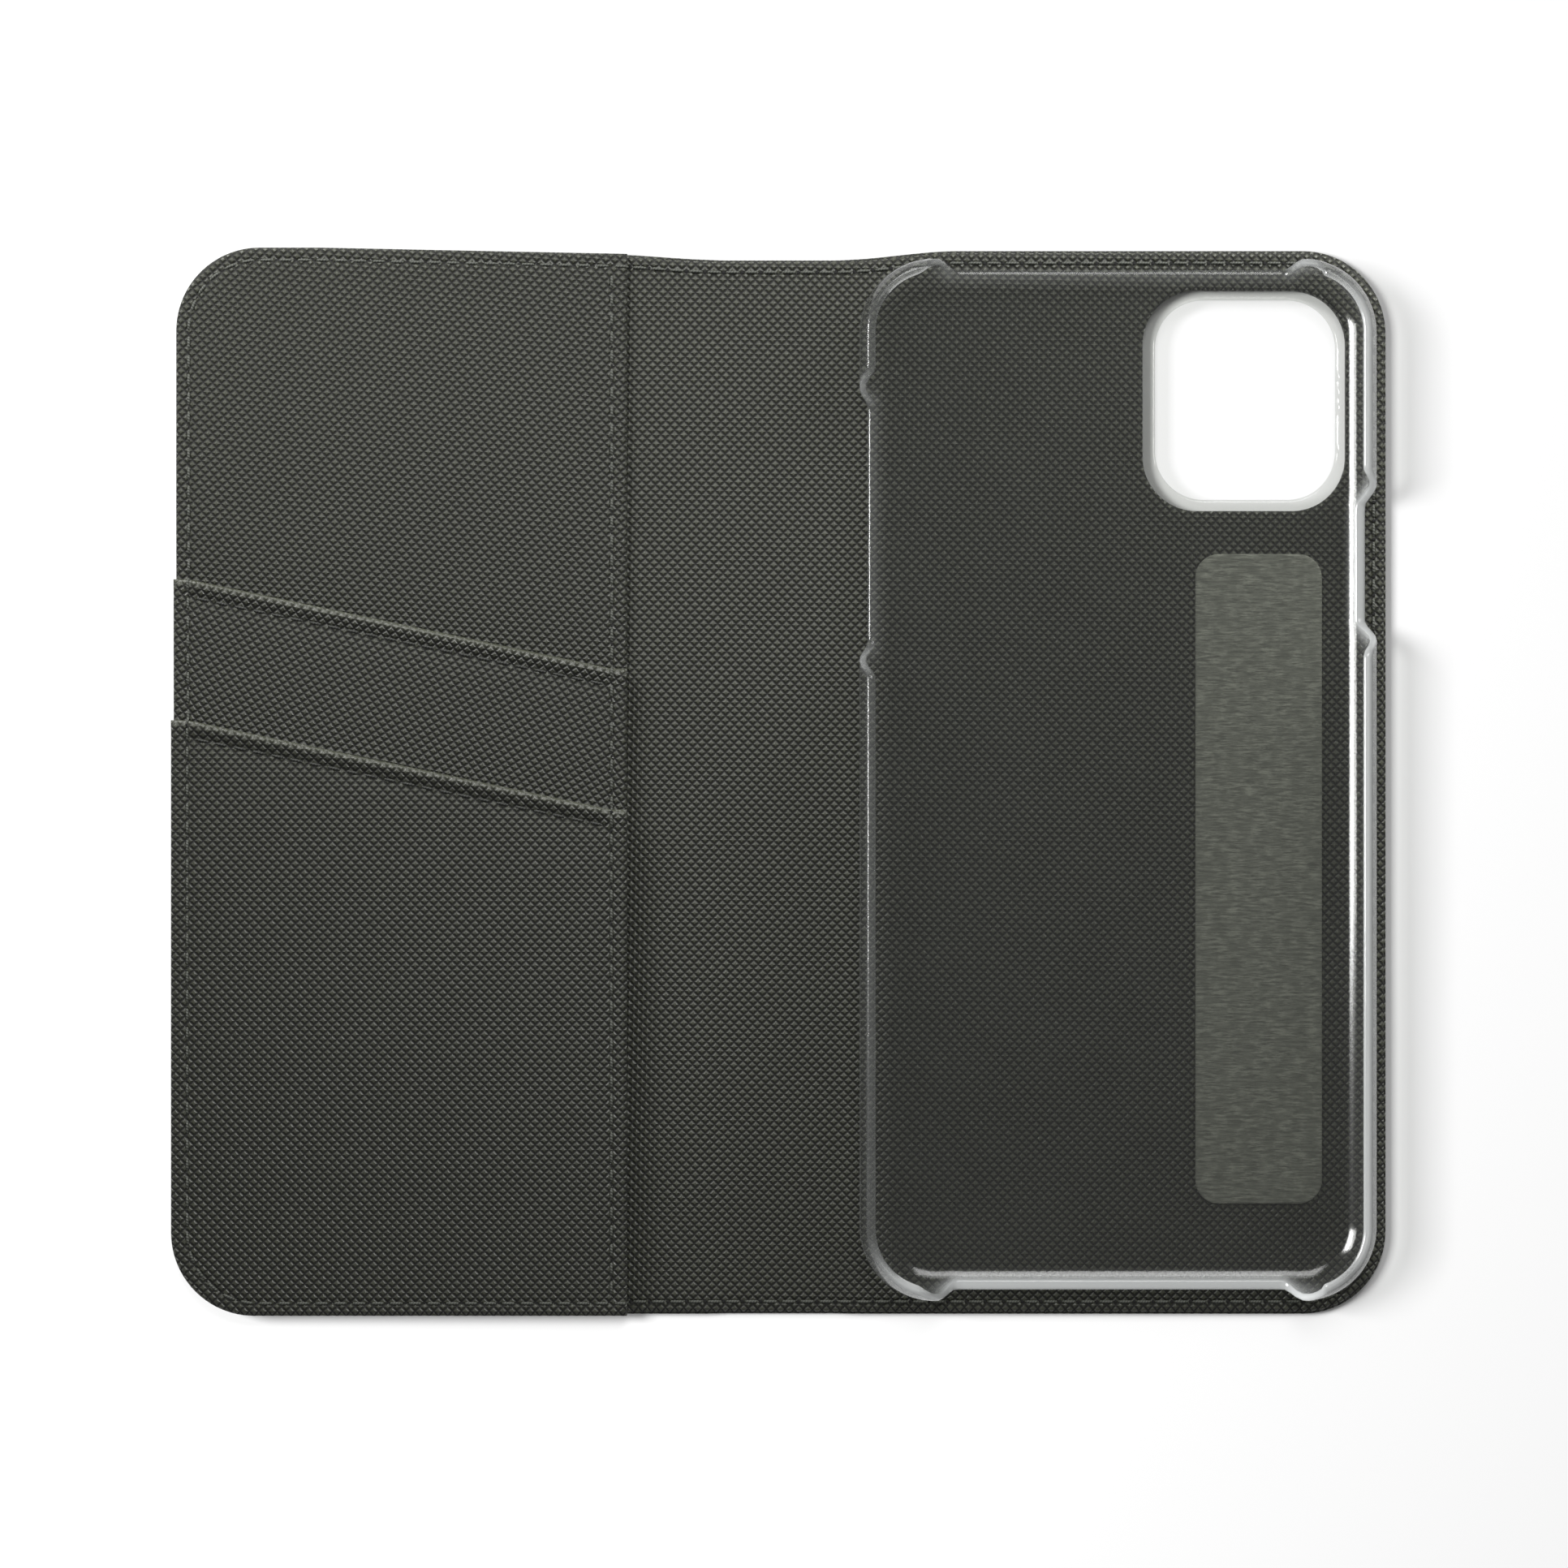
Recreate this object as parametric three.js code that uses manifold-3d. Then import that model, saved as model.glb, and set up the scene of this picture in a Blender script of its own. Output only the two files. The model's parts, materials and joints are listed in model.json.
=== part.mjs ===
// A folio wallet case for a large phone, lying open with its inside up. Millimetres, +Z up.
// +X runs from the front cover to the back panel, +Y towards the top of the phone, and z = 0 is the
// outer face of the leather. Two hinge lines parallel to Y bound the spine.
import * as THREE from "three";
import { mergeVertices } from "three/addons/utils/BufferGeometryUtils.js";
import Module from "manifold-3d";

const wasm = await Module();
wasm.setup();

// Driving dimensions of the open case.
const OPEN_WIDTH = 189.8;
const OPEN_HEIGHT = 166.8;
const CORNER_RADIUS = 13;
const HINGE_X = 7.8;
const HINGE_GAP = 1.1;
const BOARD_END_X = 12.2;

// The top edge falls a little towards the spine and is cut in across it.
const TOP_Y = OPEN_HEIGHT / 2;
const BOTTOM_Y = -OPEN_HEIGHT / 2;
const TOP_SLOPE_START_X = -72;
const STACK_TOP_DROP = 0.9;
const SPINE_TOP_DROP = 1.8;
const BACK_TOP_DROP = 0.4;
const SPINE_CUT_HALF_X = 9;
const SPINE_CUT_END_X = 28;

// Layer thicknesses, from the outside in.
const SKIN_THICK = 0.7;
const BOARD_THICK = 0.9;
const LINING_THICK = 0.6;
const STIFFENER_THICK = 0.4;
const STIFFENER_HALF_WIDTH = 4.2;
const TURN_IN = 2.2;
const LINING_INSET = 0.4;
const LINING_TOP = SKIN_THICK + BOARD_THICK + LINING_THICK;

// The card pockets: their free layers, the slots between them, and their folded hems.
const LAYER_THICK = 0.65;
const CASH_SLOT = 0.15;
const CARD_SLOT = 0.1;
const STACK_EDGE_X = -23.8;
const SIDE_SEAM_X = -26.2;
const LEFT_SEAM_X = -92.3;
const EDGE_WRAP = 0.3;
const HEM_SLOPE = Math.tan(THREE.MathUtils.degToRad(11.9));
const HEM_WIDTH = 2.4;
const HEM_RAISE = 0.35;
const HEM_END_CLEAR = 0.6;
const UPPER_HEM_Y = 31.5;
const LOWER_HEM_Y = 9.5;
const BACKING_TOP = LINING_TOP + CASH_SLOT + LAYER_THICK;
const UPPER_TOP = BACKING_TOP + CARD_SLOT + LAYER_THICK;
const LOWER_TOP = UPPER_TOP + CARD_SLOT + LAYER_THICK;

// Seam thread, drawn as a thin ribbon that lies on whatever it is sewn through.
const THREAD_WIDTH = 0.4;
const THREAD_THICK = 0.15;
const THREAD_CLEAR = 0.05;
const THREAD_RISER = 0.35;
const SEAM_INSET = 2;
const SEAM_END_X = BOARD_END_X + 0.6;

// The clear shell: its wall is an arc around the rounded edge of the phone.
const SHELL_WIDTH = 80.2;
const SHELL_HEIGHT = 161.6;
const SHELL_CORNER_RADIUS = 11.5;
const SHELL_CENTRE = new THREE.Vector2(52.5, 0.2);
const WALL_OUTER_RADIUS = 5.1;
const WALL_THICK = 1.1;
const WALL_STRAIGHT = 0.1;
const LIP_ABOVE_MIDDLE = 3.35;
const STRIP_THICK = 0.3;
const SHELL_BOTTOM = LINING_TOP + STRIP_THICK;
const SHELL_MIDDLE = SHELL_BOTTOM + WALL_OUTER_RADIUS + WALL_STRAIGHT / 2;
const LOW_LIP = SHELL_BOTTOM + 2;
const NOTCH_SLOPE = 5;

// Button notches in the side walls, and the long low stretches at the top and bottom ends.
const LEFT_NOTCH = { from: 21.7, to: 58.3 };
const RIGHT_NOTCH = { from: 25, to: 42.8 };
const END_NOTCH = { from: 27, to: 79 };

// The camera window in the leather and the smaller one in the shell, and the bonding strip.
const LEATHER_WINDOW = { x: 72.7, y: 59.5, width: 31.8, height: 34.5, radius: 8.5 };
const SHELL_WINDOW = { x: 72.7, y: 59.5, width: 28.2, height: 31.2, radius: 7.6 };
const BOARD_WINDOW_MARGIN = 1.5;
const BOND_STRIP = { x: 74.9, y: -15.3, width: 19.8, height: 101.6, radius: 3.7 };

// Bounds that reach past the whole case, for cutting it up.
const FAR = 120;
const ABOVE = 20;
const CURVE_STEPS = 8;
const WALL_STEPS = 5;

const outerLeather = new THREE.MeshStandardMaterial({ color: 0x40423b, roughness: 0.6, metalness: 0 });
const liningLeather = new THREE.MeshStandardMaterial({ color: 0x464841, roughness: 0.6, metalness: 0 });
const pocketLeather = new THREE.MeshStandardMaterial({ color: 0x42443d, roughness: 0.6, metalness: 0 });
const greyBoard = new THREE.MeshStandardMaterial({ color: 0x8d8a82, roughness: 0.95, metalness: 0 });
const thread = new THREE.MeshStandardMaterial({ color: 0x33352f, roughness: 0.85, metalness: 0 });
const feltStrip = new THREE.MeshStandardMaterial({ color: 0x5b5d56, roughness: 0.95, metalness: 0 });
const clearPlastic = new THREE.MeshStandardMaterial({
  color: 0xe8ecec,
  roughness: 0.12,
  metalness: 0,
  transparent: true,
  opacity: 0.3,
});

// A three.js geometry as a manifold solid.
function solidOf(geometry) {
  const bare = geometry.clone();
  bare.deleteAttribute("normal");
  bare.deleteAttribute("uv");
  const merged = mergeVertices(bare);
  return new wasm.Manifold(
    new wasm.Mesh({
      numProp: 3,
      vertProperties: merged.attributes.position.array,
      triVerts: new Uint32Array(merged.index.array),
    }),
  );
}

// A manifold solid as a named mesh.
function meshOf(name, solid, material) {
  const mesh = solid.getMesh();
  const geometry = new THREE.BufferGeometry();
  geometry.setAttribute("position", new THREE.BufferAttribute(mesh.vertProperties, 3));
  geometry.setIndex(new THREE.BufferAttribute(mesh.triVerts, 1));
  geometry.computeVertexNormals();
  const made = new THREE.Mesh(geometry, material);
  made.name = name;
  return made;
}

function joined(solids) {
  return solids.reduce((sum, solid) => sum.add(solid));
}

function block(x0, x1, y0, y1, z0, z1) {
  const geometry = new THREE.BoxGeometry(x1 - x0, y1 - y0, z1 - z0);
  geometry.translate((x0 + x1) / 2, (y0 + y1) / 2, (z0 + z1) / 2);
  return solidOf(geometry);
}

function prism(shape, z0, z1) {
  const options = { depth: z1 - z0, bevelEnabled: false, curveSegments: CURVE_STEPS };
  const geometry = new THREE.ExtrudeGeometry(shape, options);
  geometry.translate(0, 0, z0);
  return solidOf(geometry);
}

function roundedRectangle({ x, y, width, height, radius }) {
  const right = x + width / 2 - radius;
  const left = x - width / 2 + radius;
  const top = y + height / 2 - radius;
  const bottom = y - height / 2 + radius;
  const shape = new THREE.Shape();
  shape.absarc(right, bottom, radius, -Math.PI / 2, 0);
  shape.absarc(right, top, radius, 0, Math.PI / 2);
  shape.absarc(left, top, radius, Math.PI / 2, Math.PI);
  shape.absarc(left, bottom, radius, Math.PI, 1.5 * Math.PI);
  shape.closePath();
  return shape;
}

// The outline of the whole open sheet, inset all round; wrap moves the free edge of the cover outwards.
function sheetOutline(inset, wrap = 0) {
  const left = -OPEN_WIDTH / 2 + 2 * EDGE_WRAP + inset - wrap;
  const right = OPEN_WIDTH / 2 - inset;
  const bottom = BOTTOM_Y + inset;
  const top = TOP_Y - inset;
  const radius = CORNER_RADIUS - inset;
  const backTop = top - BACK_TOP_DROP;
  const spineTop = top - SPINE_TOP_DROP;
  const stackTop = top - STACK_TOP_DROP;
  const bend = (SPINE_CUT_END_X - SPINE_CUT_HALF_X) / 2;
  const shape = new THREE.Shape();
  shape.absarc(right - radius, bottom + radius, radius, -Math.PI / 2, 0);
  shape.absarc(right - radius, backTop - radius, radius, 0, Math.PI / 2);
  shape.lineTo(SPINE_CUT_END_X, backTop);
  shape.bezierCurveTo(
    SPINE_CUT_END_X - bend,
    backTop,
    SPINE_CUT_HALF_X + bend,
    spineTop,
    SPINE_CUT_HALF_X,
    spineTop,
  );
  shape.lineTo(-SPINE_CUT_HALF_X, spineTop);
  shape.bezierCurveTo(
    -SPINE_CUT_HALF_X - bend,
    spineTop,
    -SPINE_CUT_END_X + bend,
    stackTop,
    -SPINE_CUT_END_X,
    stackTop,
  );
  shape.lineTo(TOP_SLOPE_START_X, top);
  shape.absarc(left + radius, top - radius, radius, Math.PI / 2, Math.PI);
  shape.absarc(left + radius, bottom + radius, radius, Math.PI, 1.5 * Math.PI);
  shape.closePath();
  return shape;
}

// The stretch of the sheet from x0 to x1, between two heights.
function sheet(inset, x0, x1, z0, z1, wrap = 0) {
  return prism(sheetOutline(inset, wrap), z0, z1).intersect(block(x0, x1, -FAR, FAR, z0, z1));
}

// The stretches of the open case along X.
const FRONT = { x0: -FAR, x1: -HINGE_X - HINGE_GAP };
const SPINE = { x0: -HINGE_X + HINGE_GAP, x1: HINGE_X - HINGE_GAP };
const BACK = { x0: HINGE_X + HINGE_GAP, x1: FAR };

// A panel's skin is a shallow tray: its edge is turned up round the board.
function panelSkin({ x0, x1 }, boardX0, boardX1) {
  const base = sheet(0, x0, x1, 0, SKIN_THICK);
  const rimTop = SKIN_THICK + BOARD_THICK;
  const rim = sheet(0, boardX0, boardX1, 0, rimTop).subtract(sheet(TURN_IN, -FAR, FAR, -1, ABOVE));
  return base.add(rim);
}

function board(x0, x1) {
  return sheet(TURN_IN + THREAD_CLEAR, x0, x1, SKIN_THICK, SKIN_THICK + BOARD_THICK);
}

// A panel's lining lies on the board and steps down onto the skin beside the hinge line.
function panelLining(side) {
  const hingeEnd = side * (HINGE_X + HINGE_GAP);
  const rampFoot = side * (BOARD_END_X - BOARD_THICK - THREAD_CLEAR);
  const rampHead = side * (BOARD_END_X - THREAD_CLEAR);
  const high = SKIN_THICK + BOARD_THICK;
  const profile = new THREE.Shape([
    new THREE.Vector2(hingeEnd, SKIN_THICK),
    new THREE.Vector2(rampFoot, SKIN_THICK),
    new THREE.Vector2(rampHead, high),
    new THREE.Vector2(side * FAR, high),
    new THREE.Vector2(side * FAR, LINING_TOP),
    new THREE.Vector2(rampHead, LINING_TOP),
    new THREE.Vector2(rampFoot, SKIN_THICK + LINING_THICK),
    new THREE.Vector2(hingeEnd, SKIN_THICK + LINING_THICK),
  ]);
  const geometry = new THREE.ExtrudeGeometry(profile, { depth: 2 * FAR, bevelEnabled: false });
  geometry.rotateX(Math.PI / 2);
  geometry.translate(0, FAR, 0);
  return solidOf(geometry).intersect(prism(sheetOutline(LINING_INSET), 0, ABOVE));
}

// What lies below a slanted hem line, and left of the stack's edge, grown outwards by a margin.
function belowHem(hemY, grow, z0, z1) {
  const seamY = hemY - (SIDE_SEAM_X - LEFT_SEAM_X) * HEM_SLOPE + grow;
  const shape = new THREE.Shape([
    new THREE.Vector2(-FAR, -FAR),
    new THREE.Vector2(STACK_EDGE_X + grow, -FAR),
    new THREE.Vector2(STACK_EDGE_X + grow, seamY),
    new THREE.Vector2(SIDE_SEAM_X, seamY),
    new THREE.Vector2(LEFT_SEAM_X, hemY + grow),
    new THREE.Vector2(-FAR, hemY + grow),
  ]);
  return prism(shape, z0, z1);
}

// The band of a pocket between two distances below its slanted hem line, clear of both side seams.
function hemBand(hemY, from, to, z0, z1) {
  const startX = LEFT_SEAM_X + HEM_END_CLEAR;
  const endX = SIDE_SEAM_X - HEM_END_CLEAR;
  const startY = hemY - HEM_END_CLEAR * HEM_SLOPE;
  const endY = startY - (endX - startX) * HEM_SLOPE;
  const shape = new THREE.Shape([
    new THREE.Vector2(startX, startY - to),
    new THREE.Vector2(endX, endY - to),
    new THREE.Vector2(endX, endY - from),
    new THREE.Vector2(startX, startY - from),
  ]);
  return prism(shape, z0, z1);
}

function pocketBacking() {
  return sheet(0, -FAR, STACK_EDGE_X, LINING_TOP + CASH_SLOT, BACKING_TOP);
}

// A card pocket with its slanted hem, whose fold stands above the panel.
function cardPocket(hemY, top, wrap) {
  const panel = sheet(0, -FAR, STACK_EDGE_X, top - LAYER_THICK, top, wrap);
  const cut = panel.intersect(belowHem(hemY, 0, 0, ABOVE));
  return cut.add(hemBand(hemY, 0, HEM_WIDTH, top - LAYER_THICK, top + HEM_RAISE));
}

// The layers that a seam can lie on in the front cover, lowest first: what each covers, grown by a
// margin, and how high it reaches.
const FRONT_LAYERS = [
  { top: LINING_TOP, covers: (grow, z0, z1) => block(-FAR, -SEAM_END_X, -FAR, FAR, z0, z1) },
  { top: BACKING_TOP, covers: (grow, z0, z1) => block(-FAR, STACK_EDGE_X + grow, -FAR, FAR, z0, z1) },
  { top: UPPER_TOP, covers: (grow, z0, z1) => belowHem(UPPER_HEM_Y, grow, z0, z1) },
  { top: LOWER_TOP, covers: (grow, z0, z1) => belowHem(LOWER_HEM_Y, grow, z0, z1) },
];

// A seam's thread, dropped onto the front cover's layers so that it climbs each edge it crosses.
function threadOverLayers(seam) {
  const filled = FRONT_LAYERS.map((layer) => layer.covers(THREAD_RISER, LINING_TOP, layer.top + THREAD_THICK));
  const solidLayers = FRONT_LAYERS.slice(1).map((layer) => layer.covers(THREAD_CLEAR, 0, layer.top));
  return joined(filled).intersect(seam).subtract(joined(solidLayers));
}

// The edge seam as a tall ring, which each body's thread is cut from.
function edgeSeam(z0, z1) {
  const outer = prism(sheetOutline(SEAM_INSET - THREAD_WIDTH / 2), z0, z1);
  const inner = prism(sheetOutline(SEAM_INSET + THREAD_WIDTH / 2), z0 - 1, z1 + 1);
  return outer.subtract(inner);
}

function frontEdgeStitching() {
  return threadOverLayers(edgeSeam(0, ABOVE));
}

function pocketSideStitching() {
  const end = SEAM_INSET + THREAD_WIDTH;
  const half = THREAD_WIDTH / 2;
  const seam = block(
    SIDE_SEAM_X - half,
    SIDE_SEAM_X + half,
    BOTTOM_Y + end,
    TOP_Y - STACK_TOP_DROP - end,
    0,
    ABOVE,
  );
  return threadOverLayers(seam);
}

function hemStitching(hemY, top) {
  const from = HEM_WIDTH + THREAD_CLEAR;
  return hemBand(hemY, from, from + THREAD_WIDTH, top, top + THREAD_THICK);
}

function spineStitching(y0, y1) {
  const top = SKIN_THICK + STIFFENER_THICK + LINING_THICK;
  return edgeSeam(top, top + THREAD_THICK).intersect(block(SPINE.x0, SPINE.x1, y0, y1, 0, ABOVE));
}

function backEdgeStitching() {
  const seam = edgeSeam(LINING_TOP, LINING_TOP + THREAD_THICK);
  return seam.intersect(block(SEAM_END_X, FAR, -FAR, FAR, 0, ABOVE));
}

function spineStiffener() {
  const top = SKIN_THICK + STIFFENER_THICK;
  return sheet(TURN_IN, -STIFFENER_HALF_WIDTH, STIFFENER_HALF_WIDTH, SKIN_THICK, top);
}

function backSkin() {
  const skin = panelSkin(BACK, BOARD_END_X, FAR);
  const top = SKIN_THICK + BOARD_THICK;
  const collar = prism(roundedRectangle(grown(LEATHER_WINDOW, BOARD_WINDOW_MARGIN)), 0, top);
  return skin.add(collar).subtract(window(LEATHER_WINDOW));
}

function grown(rectangle, margin) {
  return {
    ...rectangle,
    width: rectangle.width + 2 * margin,
    height: rectangle.height + 2 * margin,
    radius: rectangle.radius + margin,
  };
}

function window(rectangle) {
  return prism(roundedRectangle(rectangle), -1, ABOVE);
}

function backBoard() {
  return board(BOARD_END_X, FAR).subtract(window(grown(LEATHER_WINDOW, BOARD_WINDOW_MARGIN + THREAD_CLEAR)));
}

function backLining() {
  return panelLining(1).subtract(window(LEATHER_WINDOW));
}

// A body whose edge is rounded all round with one radius, standing off the shell's core outline.
function roundEdged(radius) {
  const core = roundedRectangle({
    x: SHELL_CENTRE.x,
    y: SHELL_CENTRE.y,
    width: SHELL_WIDTH - 2 * WALL_OUTER_RADIUS,
    height: SHELL_HEIGHT - 2 * WALL_OUTER_RADIUS,
    radius: SHELL_CORNER_RADIUS - WALL_OUTER_RADIUS,
  });
  const geometry = new THREE.ExtrudeGeometry(core, {
    depth: WALL_STRAIGHT,
    bevelThickness: radius,
    bevelSize: radius,
    bevelSegments: WALL_STEPS,
    curveSegments: CURVE_STEPS,
  });
  geometry.translate(0, 0, SHELL_MIDDLE - WALL_STRAIGHT / 2);
  return solidOf(geometry);
}

// The outline of a notch that opens upwards with sloped ends, along one axis and z.
function notchOutline({ from, to }) {
  const rise = ABOVE - LOW_LIP;
  const spread = (NOTCH_SLOPE * rise) / (SHELL_MIDDLE + LIP_ABOVE_MIDDLE - LOW_LIP);
  return new THREE.Shape([
    new THREE.Vector2(from, LOW_LIP),
    new THREE.Vector2(to, LOW_LIP),
    new THREE.Vector2(to + spread, ABOVE),
    new THREE.Vector2(from - spread, ABOVE),
  ]);
}

// A notch through a wall that faces along X.
function sideNotch(notch, wallX) {
  const reach = 2 * WALL_OUTER_RADIUS;
  const geometry = new THREE.ExtrudeGeometry(notchOutline(notch), { depth: reach, bevelEnabled: false });
  geometry.rotateY(Math.PI / 2);
  geometry.rotateX(Math.PI / 2);
  geometry.translate(wallX - reach / 2, 0, 0);
  return solidOf(geometry);
}

// A notch through a wall that faces along Y.
function endNotch(notch, wallY) {
  const reach = 2 * WALL_OUTER_RADIUS;
  const geometry = new THREE.ExtrudeGeometry(notchOutline(notch), { depth: reach, bevelEnabled: false });
  geometry.rotateX(Math.PI / 2);
  geometry.translate(0, wallY + reach / 2, 0);
  return solidOf(geometry);
}

function phoneShell() {
  const left = SHELL_CENTRE.x - SHELL_WIDTH / 2;
  const right = SHELL_CENTRE.x + SHELL_WIDTH / 2;
  const bottom = SHELL_CENTRE.y - SHELL_HEIGHT / 2;
  const top = SHELL_CENTRE.y + SHELL_HEIGHT / 2;
  const mouth = block(-FAR, FAR, -FAR, FAR, SHELL_MIDDLE + LIP_ABOVE_MIDDLE, ABOVE);
  const cuts = [
    roundEdged(WALL_OUTER_RADIUS - WALL_THICK),
    mouth,
    window(SHELL_WINDOW),
    sideNotch(LEFT_NOTCH, left),
    sideNotch(RIGHT_NOTCH, right),
    endNotch(END_NOTCH, bottom),
    endNotch(END_NOTCH, top),
  ];
  return roundEdged(WALL_OUTER_RADIUS).subtract(joined(cuts));
}

function shellBondStrip() {
  return prism(roundedRectangle(BOND_STRIP), LINING_TOP, SHELL_BOTTOM);
}

function frontCover() {
  const group = new THREE.Group();
  group.add(
    meshOf("front_skin", panelSkin(FRONT, -FAR, -BOARD_END_X), outerLeather),
    meshOf("front_board", board(-FAR, -BOARD_END_X), greyBoard),
    meshOf("front_lining", panelLining(-1), liningLeather),
    meshOf("pocket_backing", pocketBacking(), pocketLeather),
    meshOf("upper_card_pocket", cardPocket(UPPER_HEM_Y, UPPER_TOP, EDGE_WRAP), pocketLeather),
    meshOf("lower_card_pocket", cardPocket(LOWER_HEM_Y, LOWER_TOP, 2 * EDGE_WRAP), pocketLeather),
    meshOf("front_edge_stitching", frontEdgeStitching(), thread),
    meshOf("pocket_side_stitching", pocketSideStitching(), thread),
    meshOf("upper_hem_stitching", hemStitching(UPPER_HEM_Y, UPPER_TOP), thread),
    meshOf("lower_hem_stitching", hemStitching(LOWER_HEM_Y, LOWER_TOP), thread),
  );
  return group;
}

function spine() {
  const group = new THREE.Group();
  const liningBottom = SKIN_THICK + STIFFENER_THICK;
  const lining = sheet(LINING_INSET, SPINE.x0, SPINE.x1, liningBottom, liningBottom + LINING_THICK);
  group.add(
    meshOf("spine_skin", sheet(0, SPINE.x0, SPINE.x1, 0, SKIN_THICK), outerLeather),
    meshOf("spine_stiffener", spineStiffener(), greyBoard),
    meshOf("spine_lining", lining, liningLeather),
    meshOf("spine_top_stitching", spineStitching(0, FAR), thread),
    meshOf("spine_bottom_stitching", spineStitching(-FAR, 0), thread),
  );
  return group;
}

function backPanel() {
  const group = new THREE.Group();
  group.add(
    meshOf("back_skin", backSkin(), outerLeather),
    meshOf("back_board", backBoard(), greyBoard),
    meshOf("back_lining", backLining(), liningLeather),
    meshOf("back_edge_stitching", backEdgeStitching(), thread),
    meshOf("shell_bond_strip", shellBondStrip(), feltStrip),
    meshOf("phone_shell", phoneShell(), clearPlastic),
  );
  return group;
}

const walletCase = new THREE.Group();
walletCase.add(frontCover(), spine(), backPanel());

export default walletCase;
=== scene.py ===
import json
import math

import bmesh
import bpy
import numpy as np
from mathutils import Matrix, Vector, noise
from mathutils.geometry import delaunay_2d_cdt


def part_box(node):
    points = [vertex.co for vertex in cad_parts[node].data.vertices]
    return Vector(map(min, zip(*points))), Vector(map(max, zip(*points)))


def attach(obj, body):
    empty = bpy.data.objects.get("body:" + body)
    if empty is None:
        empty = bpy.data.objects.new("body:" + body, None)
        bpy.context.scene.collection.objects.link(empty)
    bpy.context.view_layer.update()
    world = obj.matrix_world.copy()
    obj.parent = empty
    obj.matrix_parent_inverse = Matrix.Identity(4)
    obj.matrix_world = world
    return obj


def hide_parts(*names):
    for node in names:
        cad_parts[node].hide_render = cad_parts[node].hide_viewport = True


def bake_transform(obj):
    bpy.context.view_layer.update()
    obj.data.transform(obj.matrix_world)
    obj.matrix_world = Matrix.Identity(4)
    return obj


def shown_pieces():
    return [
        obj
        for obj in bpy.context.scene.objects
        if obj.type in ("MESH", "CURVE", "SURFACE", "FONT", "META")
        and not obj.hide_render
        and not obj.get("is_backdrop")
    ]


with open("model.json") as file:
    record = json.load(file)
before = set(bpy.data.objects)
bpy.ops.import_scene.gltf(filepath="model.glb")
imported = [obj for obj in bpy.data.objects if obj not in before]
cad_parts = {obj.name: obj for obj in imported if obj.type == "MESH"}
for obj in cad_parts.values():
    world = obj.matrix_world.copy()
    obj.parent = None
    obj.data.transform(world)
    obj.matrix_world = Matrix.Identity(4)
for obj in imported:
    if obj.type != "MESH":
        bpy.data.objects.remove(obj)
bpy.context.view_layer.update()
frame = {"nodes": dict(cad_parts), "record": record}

# A folio phone wallet case lying open. Shapes are worked out in millimetres and made in metres.
MM = 0.001


def node_box(node):
    """A CAD node's lowest and highest corners, in millimetres."""
    low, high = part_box(node)
    return low / MM, high / MM


# What the frame says: the open case, its spine, its layers, the shell and the bonding strip.
FRONT_LOW, FRONT_HIGH = node_box("front_skin")
BACK_LOW, BACK_HIGH = node_box("back_skin")
SPINE_HIGH = node_box("spine_skin")[1]
LINING_HIGH = node_box("front_lining")[1]
BOARD_HIGH = node_box("front_board")[1]
BACKING_HIGH = node_box("pocket_backing")[1]
UPPER_LOW, UPPER_HIGH = node_box("upper_card_pocket")
LOWER_LOW, LOWER_HIGH = node_box("lower_card_pocket")
STRIP_LOW, STRIP_HIGH = node_box("shell_bond_strip")
SHELL_LOW, SHELL_HIGH = node_box("phone_shell")

# The sheet's outline: rounded corners, and a top edge that is cut in across the spine.
CORNER_RADIUS = 13
TOP_SLOPE_START_X = -72
STACK_TOP_DROP = 0.9
SPINE_CUT_HALF_X = 9
SPINE_CUT_END_X = 28
LINING_INSET = 0.4

# The stretch of the sheet that bends, on both sides of each hinge line.
FINE_REACH = 13

# Layers and hems of the card pockets.
LAYER_THICK = 0.65
HEM_SLOPE = math.tan(math.radians(11.9))
HEM_WIDTH = 2.4
HEM_RAISE = 0.55
ROLL = "roll"
ROLL_WIDTH = 0.35
ROLL_FADE = 0.9
SIDE_SEAM_INSET = 2.4
LEFT_SEAM_INSET = 2.0

# Seams: distance from the edge, the dent that they press, and their stitches.
SEAM_INSET = 2.0
SEAM_DENT = 0.14
SEAM_DENT_WIDTH = 0.35
STITCH_PITCH = 2.9
STITCH_LENGTH = 2.55
THREAD_RADIUS = 0.2
# The edge rows' thread is brightened as a painted highlight where it catches the light; the hem rows' thread
# keeps its own tone.
EDGE_THREAD_PAINTED_HIGHLIGHT = 2.6
HEM_THREAD_TONE = 1.0

# The clear shell.
SHELL_CORNER_RADIUS = 11.5
WALL_RADIUS = 5.1
WALL_THICK = 1.1
FLOOR_THICK = 1.1
LOW_LIP_RISE = 2.0
NOTCH_SLOPE = 5.5
LEFT_NOTCH = (21.6, 58.3)
RIGHT_NOTCH = (25.0, 42.8)
END_NOTCH = (27.5, 78.5)

# The camera windows in the leather and in the shell: centre, width, height and corner radius.
WINDOW_CENTRE = (72.7, 59.5)
LEATHER_WINDOW = (31.8, 34.5, 8.5)
SHELL_WINDOW = (28.2, 31.2, 7.6)

# Mesh density.
EDGE_STEP = 1.3
FINE_STEP = 0.6
GRID_STEP = 3.0
EDGE_RINGS = (0.04, 0.15, 0.32, 0.55, 0.85, 1.2, 1.5, 1.75, 2.0, 2.25, 2.5, 2.9, 3.6)
HOLE_RINGS = EDGE_RINGS[:7]
HOLE_MARGIN = 0.5
CORNER_STEPS = 24
SAME_PLACE = 1e-6
MERGE_REACH = 1e-5
LEAST_AREA = 1e-7
RING_SLACK = 0.03
ON_EDGE = 0.01
NO_HOLE = 99.0
POINTS_AT_ONCE = 1000

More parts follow.
